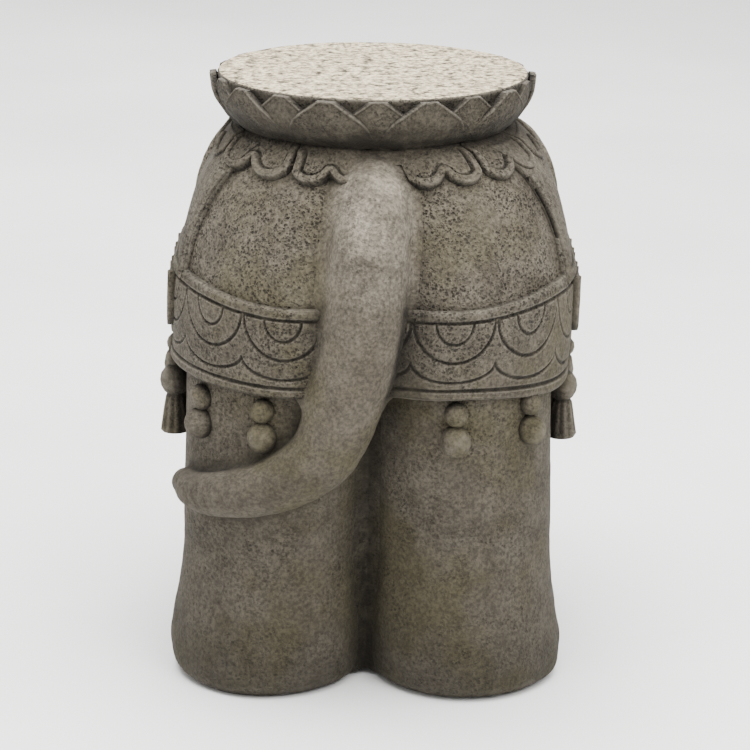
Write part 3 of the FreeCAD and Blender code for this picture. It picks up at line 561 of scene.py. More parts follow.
def neighbour_mean(values, faces, count):
    """Mean of each corner's neighbours along the faces' sides."""
    a, b = faces.ravel(), np.roll(faces, -1, 1).ravel()
    ends, others = np.concatenate([a, b]), np.concatenate([b, a])
    weight = np.bincount(ends, minlength=count) + 1e-9
    if values.ndim == 1:
        return np.bincount(ends, values[others], count) / weight
    return np.stack([np.bincount(ends, values[others, i], count) / weight for i in range(values.shape[1])], 1)


def roughen(points, faces, depth):
    """Corners moved a little along their normals, as hand-finished stone is uneven."""
    normals = corner_normals(points, faces)
    shift = depth * sum(share * noise(points, size, block) for block, (size, share) in enumerate(LUMPS))
    return points + normals * shift[:, None]


def painted_shade_grime_and_wear(points, faces):
    """Grime with painted shade in hollows, under downward faces and in grooves, and wear with a painted highlight on
    convex edges, from 0 to 1 at every corner.
    """
    normals = corner_normals(points, faces)
    hollow = np.zeros(len(points))
    # Painted shade: the nearer other stone lies off the surface, the darker, an occlusion estimate that also stands
    # for dirt in hollows
    for reach, share in HOLLOWS:
        gap = stand(*(points + normals * reach).T)
        hollow += share * np.clip(1 - gap / reach, 0, 1)
    bend = ((neighbour_mean(points, faces, len(points)) - points) * normals).sum(1)
    spread = np.linalg.norm(points[faces[:, 0]] - points[faces[:, 1]], axis=1).mean()
    bend = bend / spread
    bend = 0.5 * bend + 0.5 * neighbour_mean(bend, faces, len(points))
    # Painted shade on faces turned downward and in concave grooves, added to the hollows' shade and grime
    downward = np.clip(-normals[:, 2], 0, 1)
    grime_and_shade = np.clip(hollow * 1.15 - 0.22 + 0.35 * downward + np.clip(bend * 5, 0, 0.8), 0, 1)
    # Wear on convex edges, also a painted highlight there
    wear_and_highlight = 0.7 * np.clip(-bend * 5 - 0.15, 0, 1) * np.clip(1 - hollow, 0, 1)
    return grime_and_shade, wear_and_highlight


# Pieces


def make_mesh(name, points, faces):
    """A mesh in metres in the shared frame from corners in millimetres from the seat's axis."""
    mesh = bpy.data.meshes.new(name)
    mesh.vertices.add(len(points))
    mesh.vertices.foreach_set("co", ((points + (0, AXIS_Y, 0)) / 1000).astype(np.float32).ravel())
    mesh.loops.add(faces.size)
    mesh.loops.foreach_set("vertex_index", faces.astype(np.int32).ravel())
    mesh.polygons.add(len(faces))
    mesh.polygons.foreach_set("loop_start", np.arange(0, faces.size, 4, dtype=np.int32))
    mesh.update(calc_edges=True)
    mesh.validate()
    mesh.shade_smooth()
    return mesh


def set_painted_shade_grime_and_wear(mesh, points, faces, dry, stain, wear_and_highlight_shift, pitted):
    """Store the grime with painted shade and the wear with a painted highlight on a mesh for its material, with how
    dry and pale the stone is.
    """
    grime_and_shade, wear_and_highlight = painted_shade_grime_and_wear(points, faces)
    pale = np.broadcast_to(dry(*points.T) if callable(dry) else dry, len(points))
    # Extra painted shade and grime, and extra wear and painted highlight, given per piece
    layers = {"grime_and_shade": np.clip(grime_and_shade + stain, 0, 1), "wear_and_highlight": np.clip(wear_and_highlight + wear_and_highlight_shift, 0, 1), "dry": pale,
              "pitted": np.full(len(points), pitted)}
    for label, values in layers.items():
        layer = mesh.attributes.get(label) or mesh.attributes.new(label, "FLOAT", "POINT")
        layer.data.foreach_set("value", values.astype(np.float32))


def declare(piece, nodes):
    """Ride on the frame's one body and stand for its nodes."""
    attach(piece, "root")
    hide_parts(*nodes)


def add_piece(name, points, faces, nodes, material, slot="cast_stone", lumps=1.0, dry=0.0, stain=0.0, wear_and_highlight_shift=0.0,
              pitted=1.0):
    """A finished piece of stone from corners and faces."""
    points = roughen(points, faces, mm("lump_depth") * lumps)
    points[:, 2] = np.maximum(points[:, 2], 0)
    leaning = points.copy()
    leaning[:, 0] += lean(points[:, 2])
    mesh = make_mesh(name, leaning, faces)
    set_painted_shade_grime_and_wear(mesh, points, faces, dry, stain, wear_and_highlight_shift, pitted)
    mesh.materials.append(material)
    piece = bpy.data.objects.new(name, mesh)
    bpy.context.scene.collection.objects.link(piece)
    declare(piece, nodes)
    return piece


def add_node(tree, kind, settings=None, inputs=None):
    """Add a node with its settings and what goes into its sockets: a value or another node's output."""
    node = tree.nodes.new(kind)
    for key, value in (settings or {}).items():
        setattr(node, key, value)
    for key, value in (inputs or {}).items():
        socket = node.inputs[key]
        if isinstance(value, bpy.types.NodeSocket):
            tree.links.new(value, socket)
        else:
            socket.default_value = value
    return node


def new_group(name, sizes):
    """A Geometry Nodes tree with named inputs."""
    tree = bpy.data.node_groups.new(name, "GeometryNodeTree")
    tree.interface.new_socket("Geometry", in_out="INPUT", socket_type="NodeSocketGeometry")
    for label, kind in sizes:
        tree.interface.new_socket(label, in_out="INPUT", socket_type=kind)
    tree.interface.new_socket("Geometry", in_out="OUTPUT", socket_type="NodeSocketGeometry")
    return tree, tree.nodes.new("NodeGroupInput"), tree.nodes.new("NodeGroupOutput")


def close_group(tree, given, result, copies):
    """Real meshes with their finish, as the end of a tree of copies."""
    real = add_node(tree, "GeometryNodeRealizeInstances", None, {"Geometry": copies.outputs[0]})
    dressed = add_node(tree, "GeometryNodeSetMaterial", None,
                       {"Geometry": real.outputs[0], "Material": given.outputs["Finish"]})
    tree.links.new(dressed.outputs[0], result.inputs[0])
    return tree


def ring_tree():
    """One shape repeated round the seat's axis."""
    tree, given, result = new_group("Ring of shapes", (
        ("Count", "NodeSocketInt"), ("First angle", "NodeSocketFloat"), ("Axis", "NodeSocketVector"),
        ("Finish", "NodeSocketMaterial")))
    share = add_node(tree, "ShaderNodeMath", {"operation": "DIVIDE"}, {0: 2 * math.pi, 1: given.outputs["Count"]})
    index = add_node(tree, "GeometryNodeInputIndex")
    angle = add_node(tree, "ShaderNodeMath", {"operation": "MULTIPLY_ADD"},
                     {0: index.outputs[0], 1: share.outputs[0], 2: given.outputs["First angle"]})
    turn = add_node(tree, "ShaderNodeCombineXYZ", None, {"Z": angle.outputs[0]})
    spots = add_node(tree, "GeometryNodePoints", None,
                     {"Count": given.outputs["Count"], "Position": given.outputs["Axis"]})
    copies = add_node(tree, "GeometryNodeInstanceOnPoints", None,
                      {"Points": spots.outputs[0], "Instance": given.outputs["Geometry"],
                       "Rotation": turn.outputs[0]})
    return close_group(tree, given, result, copies)


def spots_tree():
    """One shape at every spot, turned and sized by the spot's own values."""
    tree, given, result = new_group("Shapes on spots", (
        ("Shape", "NodeSocketObject"), ("Finish", "NodeSocketMaterial")))
    shape = add_node(tree, "GeometryNodeObjectInfo", None, {"Object": given.outputs["Shape"]})
    turn, size = (add_node(tree, "GeometryNodeInputNamedAttribute", {"data_type": "FLOAT_VECTOR"}, {"Name": label})
                  for label in ("turn", "size"))
    copies = add_node(tree, "GeometryNodeInstanceOnPoints", None,
                      {"Points": given.outputs["Geometry"], "Instance": shape.outputs["Geometry"],
                       "Rotation": turn.outputs[0], "Scale": size.outputs[0]})
    return close_group(tree, given, result, copies)


def grown(name, mesh, tree, values):
    """A plain mesh from a Geometry Nodes tree, its inputs set by their identifiers."""
    host = bpy.data.objects.new(name + "_grower", mesh)
    bpy.context.scene.collection.objects.link(host)
    modifier = host.modifiers.new("Grow", "NODES")
    modifier.node_group = tree
    sockets = {item.name: item.identifier for item in tree.interface.items_tree
               if item.item_type == "SOCKET" and item.in_out == "INPUT"}
    for label, value in values.items():
        modifier[sockets[label]] = value
    graph = bpy.context.evaluated_depsgraph_get()
    result = bpy.data.meshes.new_from_object(host.evaluated_get(graph), depsgraph=graph)
    host.modifiers.remove(modifier)
    bpy.data.objects.remove(host)
    return result


def grown_piece(name, mesh, nodes, material, lumps=0.5, stain=0.0, round_form=False):
    """A finished piece of stone from a grown mesh; a round form has no edges to rub pale or to paint with a
    highlight.
    """
    count = len(mesh.vertices)
    points = np.empty(count * 3, np.float32)
    mesh.vertices.foreach_get("co", points)
    points = points.reshape(-1, 3).astype(float) * 1000 - (0, AXIS_Y, 0)
    corners = np.empty(len(mesh.loops), np.int32)
    mesh.loops.foreach_get("vertex_index", corners)
    # Less wear and painted highlight on round forms; a grown mesh may bring its own
    wear_and_highlight_shift = np.full(count, -0.35 if round_form else 0, np.float32)
    if "edge" in mesh.attributes:
        mesh.attributes["edge"].data.foreach_get("value", wear_and_highlight_shift)
    bpy.data.meshes.remove(mesh)
    return add_piece(name, points, corners.reshape(-1, 4), nodes, material, lumps=lumps, stain=stain, wear_and_highlight_shift=wear_and_highlight_shift,
                     pitted=0.6)


def spots_mesh(name, places, turns, sizes):
    """Spots in metres in the shared frame, each with its turn and size."""
    mesh = bpy.data.meshes.new(name)
    mesh.from_pydata([(x / 1000, (y + AXIS_Y) / 1000, z / 1000) for x, y, z in places], [], [])
    for label, rows in (("turn", turns), ("size", sizes)):
        layer = mesh.attributes.new(label, "FLOAT_VECTOR", "POINT")
        layer.data.foreach_set("vector", np.array(rows, np.float32).ravel())
    return mesh


def local_mesh(name, points, faces):
    """A shape at the origin in metres, for repeating."""
    return make_mesh(name, points - (0, AXIS_Y, 0), faces)


def on_spots(name, shape, places, turns, sizes, nodes, material, lumps=0.4, stain=0.0):
    """A piece made of one shape at several spots."""
    pattern = bpy.data.objects.new(name + "_shape", shape)
    bpy.context.scene.collection.objects.link(pattern)
    tree = bpy.data.node_groups.get("Shapes on spots") or spots_tree()
    mesh = grown(name, spots_mesh(name + "_spots", places, turns, sizes), tree,
                 {"Shape": pattern, "Finish": material})
    bpy.data.objects.remove(pattern)
    return grown_piece(name, mesh, nodes, material, lumps, stain, round_form=True)


# Carved detail


def on_body(along, z, side, end):
    """Point and outward direction on the body, from its middle line along the belt at a height."""
    half_width, half_length, corner, slope = section(z)
    flat_x, flat_y = half_width - corner, half_length - corner
    bend = np.clip((along - flat_x) / corner, 0, math.pi / 2)
    rest = np.clip(along - flat_x - corner * math.pi / 2, 0, None)
    x = np.minimum(along, flat_x) + corner * np.sin(bend)
    y = flat_y + corner * np.cos(bend) - rest
    nx, ny = np.sin(bend), np.cos(bend)
    size = np.sqrt(1 + slope ** 2)
    return (np.stack([side * x, end * y, z], -1),
            np.stack([side * nx / size, end * ny / size, slope / size], -1))


def groove(distance, width, depth):
    """Depth of a rounded engraved line at a distance from its middle."""
    return depth * np.clip(1 - (2 * distance / width) ** 2, 0, 1) ** 0.7


def band_span(along, side):
    """Top and lower edge of a harness band, which widens towards the flank."""
    share = np.clip((along - 60) / 120, 0, 1)
    share = share * share * (3 - 2 * share)
    return BAND_TOP + 11 * share, BELT + np.where(side > 0, 3, -10) * share


def band_height(along, drop, first):
    """Height of a harness band with its rims, two scallops and a wavy line engraved, and the lines' share."""
    pitch, width, depth = mm("scallop_pitch"), mm("groove_width"), mm("groove_depth")
    across = (along - first + pitch / 2) % pitch - pitch / 2
    inside = drop - RIM_TOP
    small = np.abs(np.hypot(across / 13.8, inside / 16.2) - 1) * 15
    large = np.abs(np.hypot(across / (pitch / 2 - 1), inside / 30.4) - 1) * 30.4
    rest = 1 - (across / (pitch / 2)) ** 2
    wave_y = 31.3 + 14.1 * np.sqrt(np.clip(rest, 0, 1))
    wave_slope = 14.1 * np.abs(across) / (pitch / 2) ** 2 / np.sqrt(np.clip(rest, 0.06, 1))
    wave = np.abs(inside - wave_y) / np.sqrt(1 + wave_slope ** 2)
    field = (drop > RIM_TOP) & (drop < RIM_LOW)
    lines = np.where(field, np.minimum.reduce([small, large, wave]), width)
    rims = np.minimum(np.abs(drop - RIM_TOP), np.abs(drop - RIM_LOW))
    height = mm("band_relief") + 0.5 * ((drop < RIM_TOP) | (drop > RIM_LOW))
    edge = np.minimum(drop, BAND_TOP - BELT - drop)
    rounding = 2.4 * np.clip(1 - edge / 3, 0, 1) ** 2
    cut = np.maximum(groove(lines, width, depth), groove(rims, width * 1.1, depth * 1.1))
    return height - cut - rounding, np.clip(cut / depth, 0, 1)


def make_band(side_name, end_name, material):
    """One harness band, from the middle line round to the middle of the flank."""
    step, end = mm("detail"), ENDS[end_name]
    run, rise = HALF_WIDTH + HALF_LENGTH - (2 - math.pi / 2) * CORNER, BAND_TOP - BELT
    along, drop = np.meshgrid(np.linspace(0, run, round(run / step)), np.linspace(0, rise, round(rise / step)))
    high, low = band_span(along, SIDES[side_name])
    base, out = on_body(along, high - drop / rise * (high - low), SIDES[side_name], end)
    height, lines = band_height(along, drop, FIRST_SCALLOP[side_name, end_name])
    if end > 0:
        height = height - 0.8 * cleft(*base.reshape(-1, 3).T).reshape(height.shape)
    under_cloth = (base[..., 2] > HEM) & (np.abs(base[..., 1]) < cloth_half(base[..., 2]))
    height = np.where(under_cloth, 1.5, height)
    front = base + out * height[..., None]
    back = base - out * np.where(end > 0, 14.0, 3.0)
    points, faces = sheet(front, back)
    name = f"{'breeching' if end > 0 else 'breast'}_band_{side_name}"
    # Painted shade in the engraved lines, over a slight darkening of the band's whole face
    stain = np.concatenate([0.08 * lines.ravel() + 0.14, np.zeros(lines.size)])
    add_piece("carved_" + name, points, faces, [name], material, lumps=0.5, stain=stain)


def neck_table():
    """Body level against the length down the back from the neck."""
    level = np.linspace(0.9925, 0.15, 400)
    z = HAUNCH + level * (BACK_TOP - HAUNCH)
    reach = section(z)[0]
    run = np.concatenate([[0], np.cumsum(np.hypot(np.diff(z), np.diff(reach)))])
    return run, z


def on_back(angle, run):
    """Point and outward direction on the domed back, by angle and length down from the neck."""
    table_run, table_z = neck_table()
    z = np.interp(run, table_run, table_z)
    reach = np.full(np.shape(run), 100.0)
    dx, dy = np.sin(angle), np.cos(angle)
    for _ in range(24):
        reach = reach - body(reach * dx, reach * dy, z) * np.sqrt(1 + section(z)[3] ** 2)
    point = np.stack([reach * dx, reach * dy, z], -1)
    flat = point.reshape(-1, 3)
    tiny = 0.05
    out = np.stack([body(*(flat + tiny * axis).T) - body(*(flat - tiny * axis).T) for axis in np.eye(3)], 1)
    out = out / np.linalg.norm(out, axis=1, keepdims=True)
    return point, out.reshape(point.shape)


def lappet_place(angle):
    """Distance from the middle of a two-lobed lappet and half the lappet's width, at an angle from the tail."""
    degrees = (np.degrees(angle) + 180) % 360 - 180
    place = np.interp(degrees, LAPPET_ANGLES, LAPPET_ENDS)
    number = np.clip(np.floor(place), 0, 9).astype(int)
    number = np.where((place == GAP_PLACE) & (degrees < 0), GAP_PLACE - 1, number)
    widths = np.radians(np.array([b - a for a, b in zip(LAPPET_ANGLES, LAPPET_ANGLES[1:])
                                  if (a, b) != TAIL_GAP])) * LAPPET_RADIUS
    width = widths[number]
    return np.abs(place - number - 0.5) * width, width / 2


def make_collar(material):
    """The collar of two-lobed lappets, each with a rolled rim, left open where the tail starts."""
    roll, drop = mm("roll_width"), mm("collar_drop")
    turns, rows = 1000, 48
    angle, share = np.meshgrid(np.arange(turns) * 2 * math.pi / turns, np.linspace(0, 1, rows))
    across, half = lappet_place(angle)
    radius = bpy.context.scene.stand_sizes.lobe_curve * half / 2
    arc = np.sqrt(radius ** 2 - (across - half / 2) ** 2)
    notch = 9 * np.clip(1 - (half - across) / 4, 0, 1) ** 2
    run = share * (drop - radius + arc - notch)
    beyond, cusp = run - drop + radius, drop - radius + np.sqrt(radius ** 2 - half ** 2 / 4)
    on_arc = (beyond > 0) & (np.abs(across - half / 2) * (cusp - drop + radius) <= beyond * half / 2)
    lobe = np.where(on_arc, radius - np.hypot(across - half / 2, beyond),
                    np.hypot(np.minimum(across, half - across), run - cusp))
    side = half - across - 1.2 * np.clip(run / 16, 0, 1)
    inside = np.minimum(lobe, side)
    base, out = on_back(angle, run)
    degrees = np.degrees((angle + math.pi) % (2 * math.pi) - math.pi)
    from_tail = np.abs(degrees - sum(TAIL_GAP) / 2) - (TAIL_GAP[1] - TAIL_GAP[0]) / 2
    by_tail = np.clip(1 - from_tail / 7, 0, 1)
    inside = np.where(by_tail > 0, np.minimum(lobe, side + 30 * by_tail), inside)
    strong = np.clip((run - 2) / 7, 0, 1) * (1 - by_tail)
    bump = np.clip(1 - ((inside - roll / 2) / (roll / 2)) ** 2, 0, 1) ** 0.5
    line = groove(np.abs(inside - roll - 0.8), 2.6, 1.3)
    height = 3.6 + 3.2 * bump * strong - line * strong - 3 * np.clip(1 - inside / 1.6, 0, 1) ** 2
    height = np.where(inside < 0.05, 0.3, height) * (1 - 0.5 * by_tail)
    front, back = base + out * height[..., None], base - out * 4
    points, faces = sheet(front, back, wrap=True)
    # Painted shade in the groove inside the rolled rim and along the lappets' outline, where the rim stands out
    stain = np.clip(0.2 * line / 1.3 * strong + 0.4 * np.clip(1 - inside / 1.2, 0, 1), 0, 0.4)
    stain = stain * (1 - by_tail)
    stain = np.concatenate([stain.ravel(), np.zeros(stain.size)])
    add_piece("carved_collar", points, faces, ["seat_collar"], material, lumps=0.6, stain=stain)


def cloth_half(z):
    """Half the blanket's length along the flank at a height."""
    return np.interp(z, (HEM, BACK_TOP), (CLOTH_HEM, CLOTH_TOP))


def blanket_grid(step):
    """Grid over a flank: along from the middle and down from the neck."""
    z = np.arange(HEM, BACK_TOP - 3, step)[::-1]
    half = cloth_half(z)
    share = np.linspace(-1, 1, int(2 * CLOTH_HEM / step))
    y = share[None, :] * half[:, None]
    z = np.repeat(z[:, None], len(share), 1)
    return y, z


def flank_point(y, z, side):
    """Point and outward direction on the body's flank."""
    half_width, half_length, corner, slope = section(z)
    flat_y = half_length - corner
    bend = np.arcsin(np.clip((np.abs(y) - flat_y) / corner, 0, 0.999))
    x = half_width - corner + corner * np.cos(bend)
    size = np.sqrt(1 + slope ** 2)
    point = np.stack([side * x, y, z], -1)
    out = np.stack([side * np.cos(bend) / size, np.sign(y) * np.sin(bend) / size, slope / size], -1)
    return point, out


def make_blanket(side_name, material):
    """A saddle blanket and its raised border on one flank."""
    side = SIDES[side_name]
    y, z = blanket_grid(BORDER_STEP)
    base, out = flank_point(y, z, side)
    points, faces = sheet(base + out * CLOTH_PROUD, base - out * CLOTH_SUNK)
    add_piece(f"carved_blanket_{side_name}", points, faces, [f"saddle_blanket_{side_name}"], material, lumps=0.6)

    # Border: down one edge, along the hem and up the other edge
    heights = np.arange(BACK_TOP - 26, HEM + 1, -BORDER_STEP)
    edge_half = cloth_half(heights)
    hem_y = np.arange(edge_half[-1], -edge_half[-1], -BORDER_STEP)
    path_y = np.concatenate([edge_half, hem_y, -edge_half[::-1]])
    path_z = np.concatenate([heights, np.full(len(hem_y), HEM), heights[::-1]])
    inward_y = np.concatenate([np.full(len(heights), -1.0), np.zeros(len(hem_y)), np.full(len(heights), 1.0)])
    inward_z = np.concatenate([np.zeros(len(heights)), np.ones(len(hem_y)), np.zeros(len(heights))])
    mitre = len(heights)
    for at in (mitre, mitre + len(hem_y) - 1):
        spread = np.arange(len(path_y)) - at
        near = np.abs(spread) < 6
        blend_in = 0.5 + 0.5 * np.clip(spread[near] / 6, -1, 1)
        into_hem = blend_in if at == mitre else 1 - blend_in
        inward_z[near] = into_hem
        inward_y[near] = (-1 if at == mitre else 1) * (1 - into_hem)
    width = np.linspace(0, BORDER_WIDTH, 9)
    y = path_y[:, None] + inward_y[:, None] * width
    z = path_z[:, None] + inward_z[:, None] * width
    base, out = flank_point(y, z, side)
    crown = 4.4 + 3.0 * np.clip(1 - ((width - BORDER_WIDTH / 2) / 4.9) ** 2, 0, 1) ** 0.5
    front = base + out * (crown * np.ones_like(y))[..., None]
    points, faces = sheet(front, base + out * 1.5)
    add_piece(f"carved_border_{side_name}", points, faces, [f"blanket_border_{side_name}"], material, lumps=0.2,
              stain=0.2)


def turned(profile, turns, wave=None):
    """A closed round shape from radius and height pairs, standing on its axis."""
    profile = np.array(profile, float)
    angle = np.arange(turns) * 2 * math.pi / turns
    radius = np.repeat(np.maximum(profile[:, 0], 0.05)[:, None], turns, 1)
    if wave is not None:
        radius = radius * wave(angle[None, :], profile[:, 1][:, None])
    z = np.repeat(profile[:, 1][:, None], turns, 1)
    front = np.stack([radius * np.cos(angle), radius * np.sin(angle), z], -1)
    rows = len(profile)
    grid = np.arange(rows * turns).reshape(rows, turns)
    grid = np.hstack([grid, grid[:, :1]])
    faces = quads(grid)
    points = front.reshape(-1, 3)
    caps = []
    for ring in (grid[0, :-1], grid[-1, :-1][::-1]):
        half = turns // 2
        for i in range(half - 1):
            caps.append((ring[i], ring[turns - 1 - i], ring[turns - 2 - i], ring[i + 1]))
    faces = np.vstack([faces, np.array(caps)])
    return points, face_out(points, faces)


def ball_profile(steps):
    """Radius and height pairs of a ball of radius 1."""
    return [(math.cos(a), math.sin(a)) for a in np.linspace(-math.pi / 2, math.pi / 2, steps)]


def tassel_shape():
    """Two beads, a ball and a ribbed skirt, hanging from the origin."""
    profile = [(0.3, 7.2), (4, 6.2), (6.4, 3.4), (7.2, 0), (6.4, -3.4), (4.6, -5.7), (6.2, -8), (7.2, -11.5),
               (6.4, -14.8), (4.8, -17.2), (4.4, -18.5), (8, -21.5), (10.6, -25.5), (11.5, -30.5), (10.8, -35),
               (8.4, -39.4), (6.2, -41.6), (7.2, -44), (8.2, -50), (9.4, -58), (10.6, -66), (11.2, -70), (10.2, -72),
               (5, -72.6), (0.3, -72.8)]

    def ribs(angle, z):
        return 1 + 0.07 * np.cos(angle * 9) * (z < -42) * (z > -72)

    points, faces = turned(profile, 36, ribs)
    return local_mesh("tassel", points, faces)


def petal_shape(lift, breadth):
    """One lotus petal on the seat's bowl, its tip up at the rim and its edge bevelled."""
    layer, bevel = mm("petal_layer"), mm("petal_edge")
    columns, rows = 57, 44
    drop = 2.2 + (SEAT_TOP - SEAT_UNDER - 3.2) * np.linspace(0, 1, rows) ** 1.1
    half = np.interp(drop, *PETAL_CURVE) * breadth
    share = np.sin(np.linspace(-1, 1, columns) * math.pi / 2)
    across = share[None, :] * half[:, None]
    down = np.repeat(drop[:, None], columns, 1)
    core_radius = seat_radius(SEAT_TOP - down)
    slope = np.gradient(seat_radius(SEAT_TOP - drop), drop)[:, None] * np.ones_like(across)
    tilt = np.sqrt(1 + slope ** 2)
    edge_slope = np.gradient(half, drop)[:, None]
    inside = (half[:, None] - np.abs(across)) / np.sqrt(1 + np.clip(edge_slope, 0, 2.2) ** 2)
    rim = np.clip(1 - ((inside - 1.3) / 1.3) ** 2, 0, 1) ** 0.6 * np.clip((26 - down) / 10, 0, 1)
    crown = 0.9 * np.clip(inside / 14, 0, 1) ** 1.5
    bevelled = 1.5 * np.clip(1 - inside / 1.3, 0, 1) ** 2
    sunk = lift * (1 - 0.65 * np.clip((down - 12) / 14, 0, 1))
    height = sunk + layer + bevel * rim + crown - bevelled - 0.9 * np.clip((down - 30) / 9, 0, 1)
    angle = across / core_radius

    def at(offset):
        radius = core_radius + offset / tilt
        z = SEAT_TOP - down + offset * slope / tilt
        return np.stack([radius * np.sin(angle), radius * np.cos(angle), np.minimum(z, SEAT_TOP)], -1)

    points, faces = sheet(at(height), at(np.full_like(height, lift - 1.6)))
    mesh = local_mesh("petal", points, faces)
    # Pale rubbed rims and tips, also a painted highlight there
    edge = 0.55 * np.clip(1 - ((inside - 0.9) / 1.1) ** 2, 0, 1) * np.clip((22 - down) / 10, 0, 1)
    edge = np.maximum(edge, np.clip((4 - down) / 2, 0, 1) - 0.4)
    rubbed_and_highlight = mesh.attributes.new("edge", "FLOAT", "POINT")
    rubbed_and_highlight.data.foreach_set("value", np.concatenate([edge.ravel(), np.zeros(edge.size)]).astype(np.float32))
    return mesh


def nail_shape():
    """A rounded toenail lying against the foot, facing +Y."""
    across, up = np.meshgrid(np.linspace(-1, 1, 15), np.linspace(0, 1, 15))
    half = 11 * np.sqrt(np.clip(1 - (up * 0.98) ** 3.2, 0.02, 1))
    swell = 6.0 * np.sqrt(np.clip(1 - across ** 2 * 0.95, 0, 1)) * np.clip(1 - up ** 5, 0, 1) ** 0.5
    front = np.stack([across * half, swell, up * 24], -1)
    back = np.stack([across * half, np.full_like(up, -5.0), up * 24], -1)
    points, faces = sheet(front, back)
    return local_mesh("nail", points, faces)


def tab_shape():
    """A pendant tab with a raised border and a rounded foot, facing +Y, hanging from the origin."""
    across, down = np.meshgrid(np.linspace(-1, 1, 35), np.linspace(0, 1, 47))
    half = 17 * np.sqrt(np.clip(1 - np.clip((down - 0.72) / 0.285, 0, 1) ** 2, 0.01, 1))
    inside = np.minimum(np.minimum(half - np.abs(across * half), (1 - down) * 46 + 0.2), 20)
    rim = 1.3 * np.clip(1 - ((inside - 2.2) / 2.3) ** 2, 0, 1) ** 0.6
    boss = 2.0 * np.exp(-((across * half) ** 2 + (down * 46 - 22) ** 2) / 40)
    edge = 1.6 * np.clip(1 - inside / 1.4, 0, 1) ** 2
    front = np.stack([across * half, 3.0 + rim + boss - edge, -down * 46], -1)
    back = np.stack([across * half, np.full_like(across, -4.5), -down * 46], -1)
    points, faces = sheet(front, back)
    return local_mesh("tab", points, faces)


# Finishes


def new_material(name):
    """An empty material and the place on the object that its patterns read."""
    material = bpy.data.materials.new(name)
    material.use_nodes = True
    material.node_tree.nodes.clear()
    return material, add_node(material.node_tree, "ShaderNodeTexCoord").outputs["Object"]


# Each of these adds a node to the material of the socket that it gets, and gives back its output


def clouds(place, size, detail=3.0, rough=0.55):
    """Noise with lumps of that size in millimetres."""
    return add_node(place.id_data, "ShaderNodeTexNoise", None,
                    {"Vector": place, "Scale": 1000 / size, "Detail": detail, "Roughness": rough}).outputs["Fac"]


def ramp(value, low, high, out_low=0.0, out_high=1.0, shape="SMOOTHSTEP"):
    """A stretch of a value spread over another stretch."""
    return add_node(value.id_data, "ShaderNodeMapRange", {"interpolation_type": shape},
                    {"Value": value, "From Min": low, "From Max": high, "To Min": out_low,
                     "To Max": out_high}).outputs["Result"]


def times(value, factor):
    """A value times another."""
    return add_node(value.id_data, "ShaderNodeMath", {"operation": "MULTIPLY"}, {0: value, 1: factor}).outputs[0]


def added(value, factor, base):
    """A value times a factor, on top of a base."""
    return add_node(value.id_data, "ShaderNodeMath", {"operation": "MULTIPLY_ADD"},
                    {0: value, 1: factor, 2: base}).outputs[0]


def shaded(tone, share):
    """A colour made lighter or darker."""
    return add_node(share.id_data, "ShaderNodeVectorMath", {"operation": "SCALE"},
                    {0: tone, "Scale": share}).outputs[0]


def mixed(share, a, b):
    """Two colours, the second one by its share."""
    node = add_node(share.id_data, "ShaderNodeMix", {"data_type": "RGBA"}, {"Factor": share})
    for socket, tone in zip([s for s in node.inputs if s.type == "RGBA"], (a, b)):
        if isinstance(tone, bpy.types.NodeSocket):
            share.id_data.links.new(tone, socket)
        else:
            socket.default_value = (*tone, 1)
    return [s for s in node.outputs if s.type == "RGBA"][0]


def relief(strength, distance, height):
    """Fine grains and dents from a height."""
    return add_node(height.id_data, "ShaderNodeBump", None,
                    {"Strength": strength, "Distance": distance, "Height": height}).outputs["Normal"]


def set_surface(inputs):
    """End a material with its shader."""
    tree = inputs["Normal"].id_data
    shader = add_node(tree, "ShaderNodeBsdfPrincipled", None, inputs)
    add_node(tree, "ShaderNodeOutputMaterial", None, {"Surface": shader.outputs[0]})


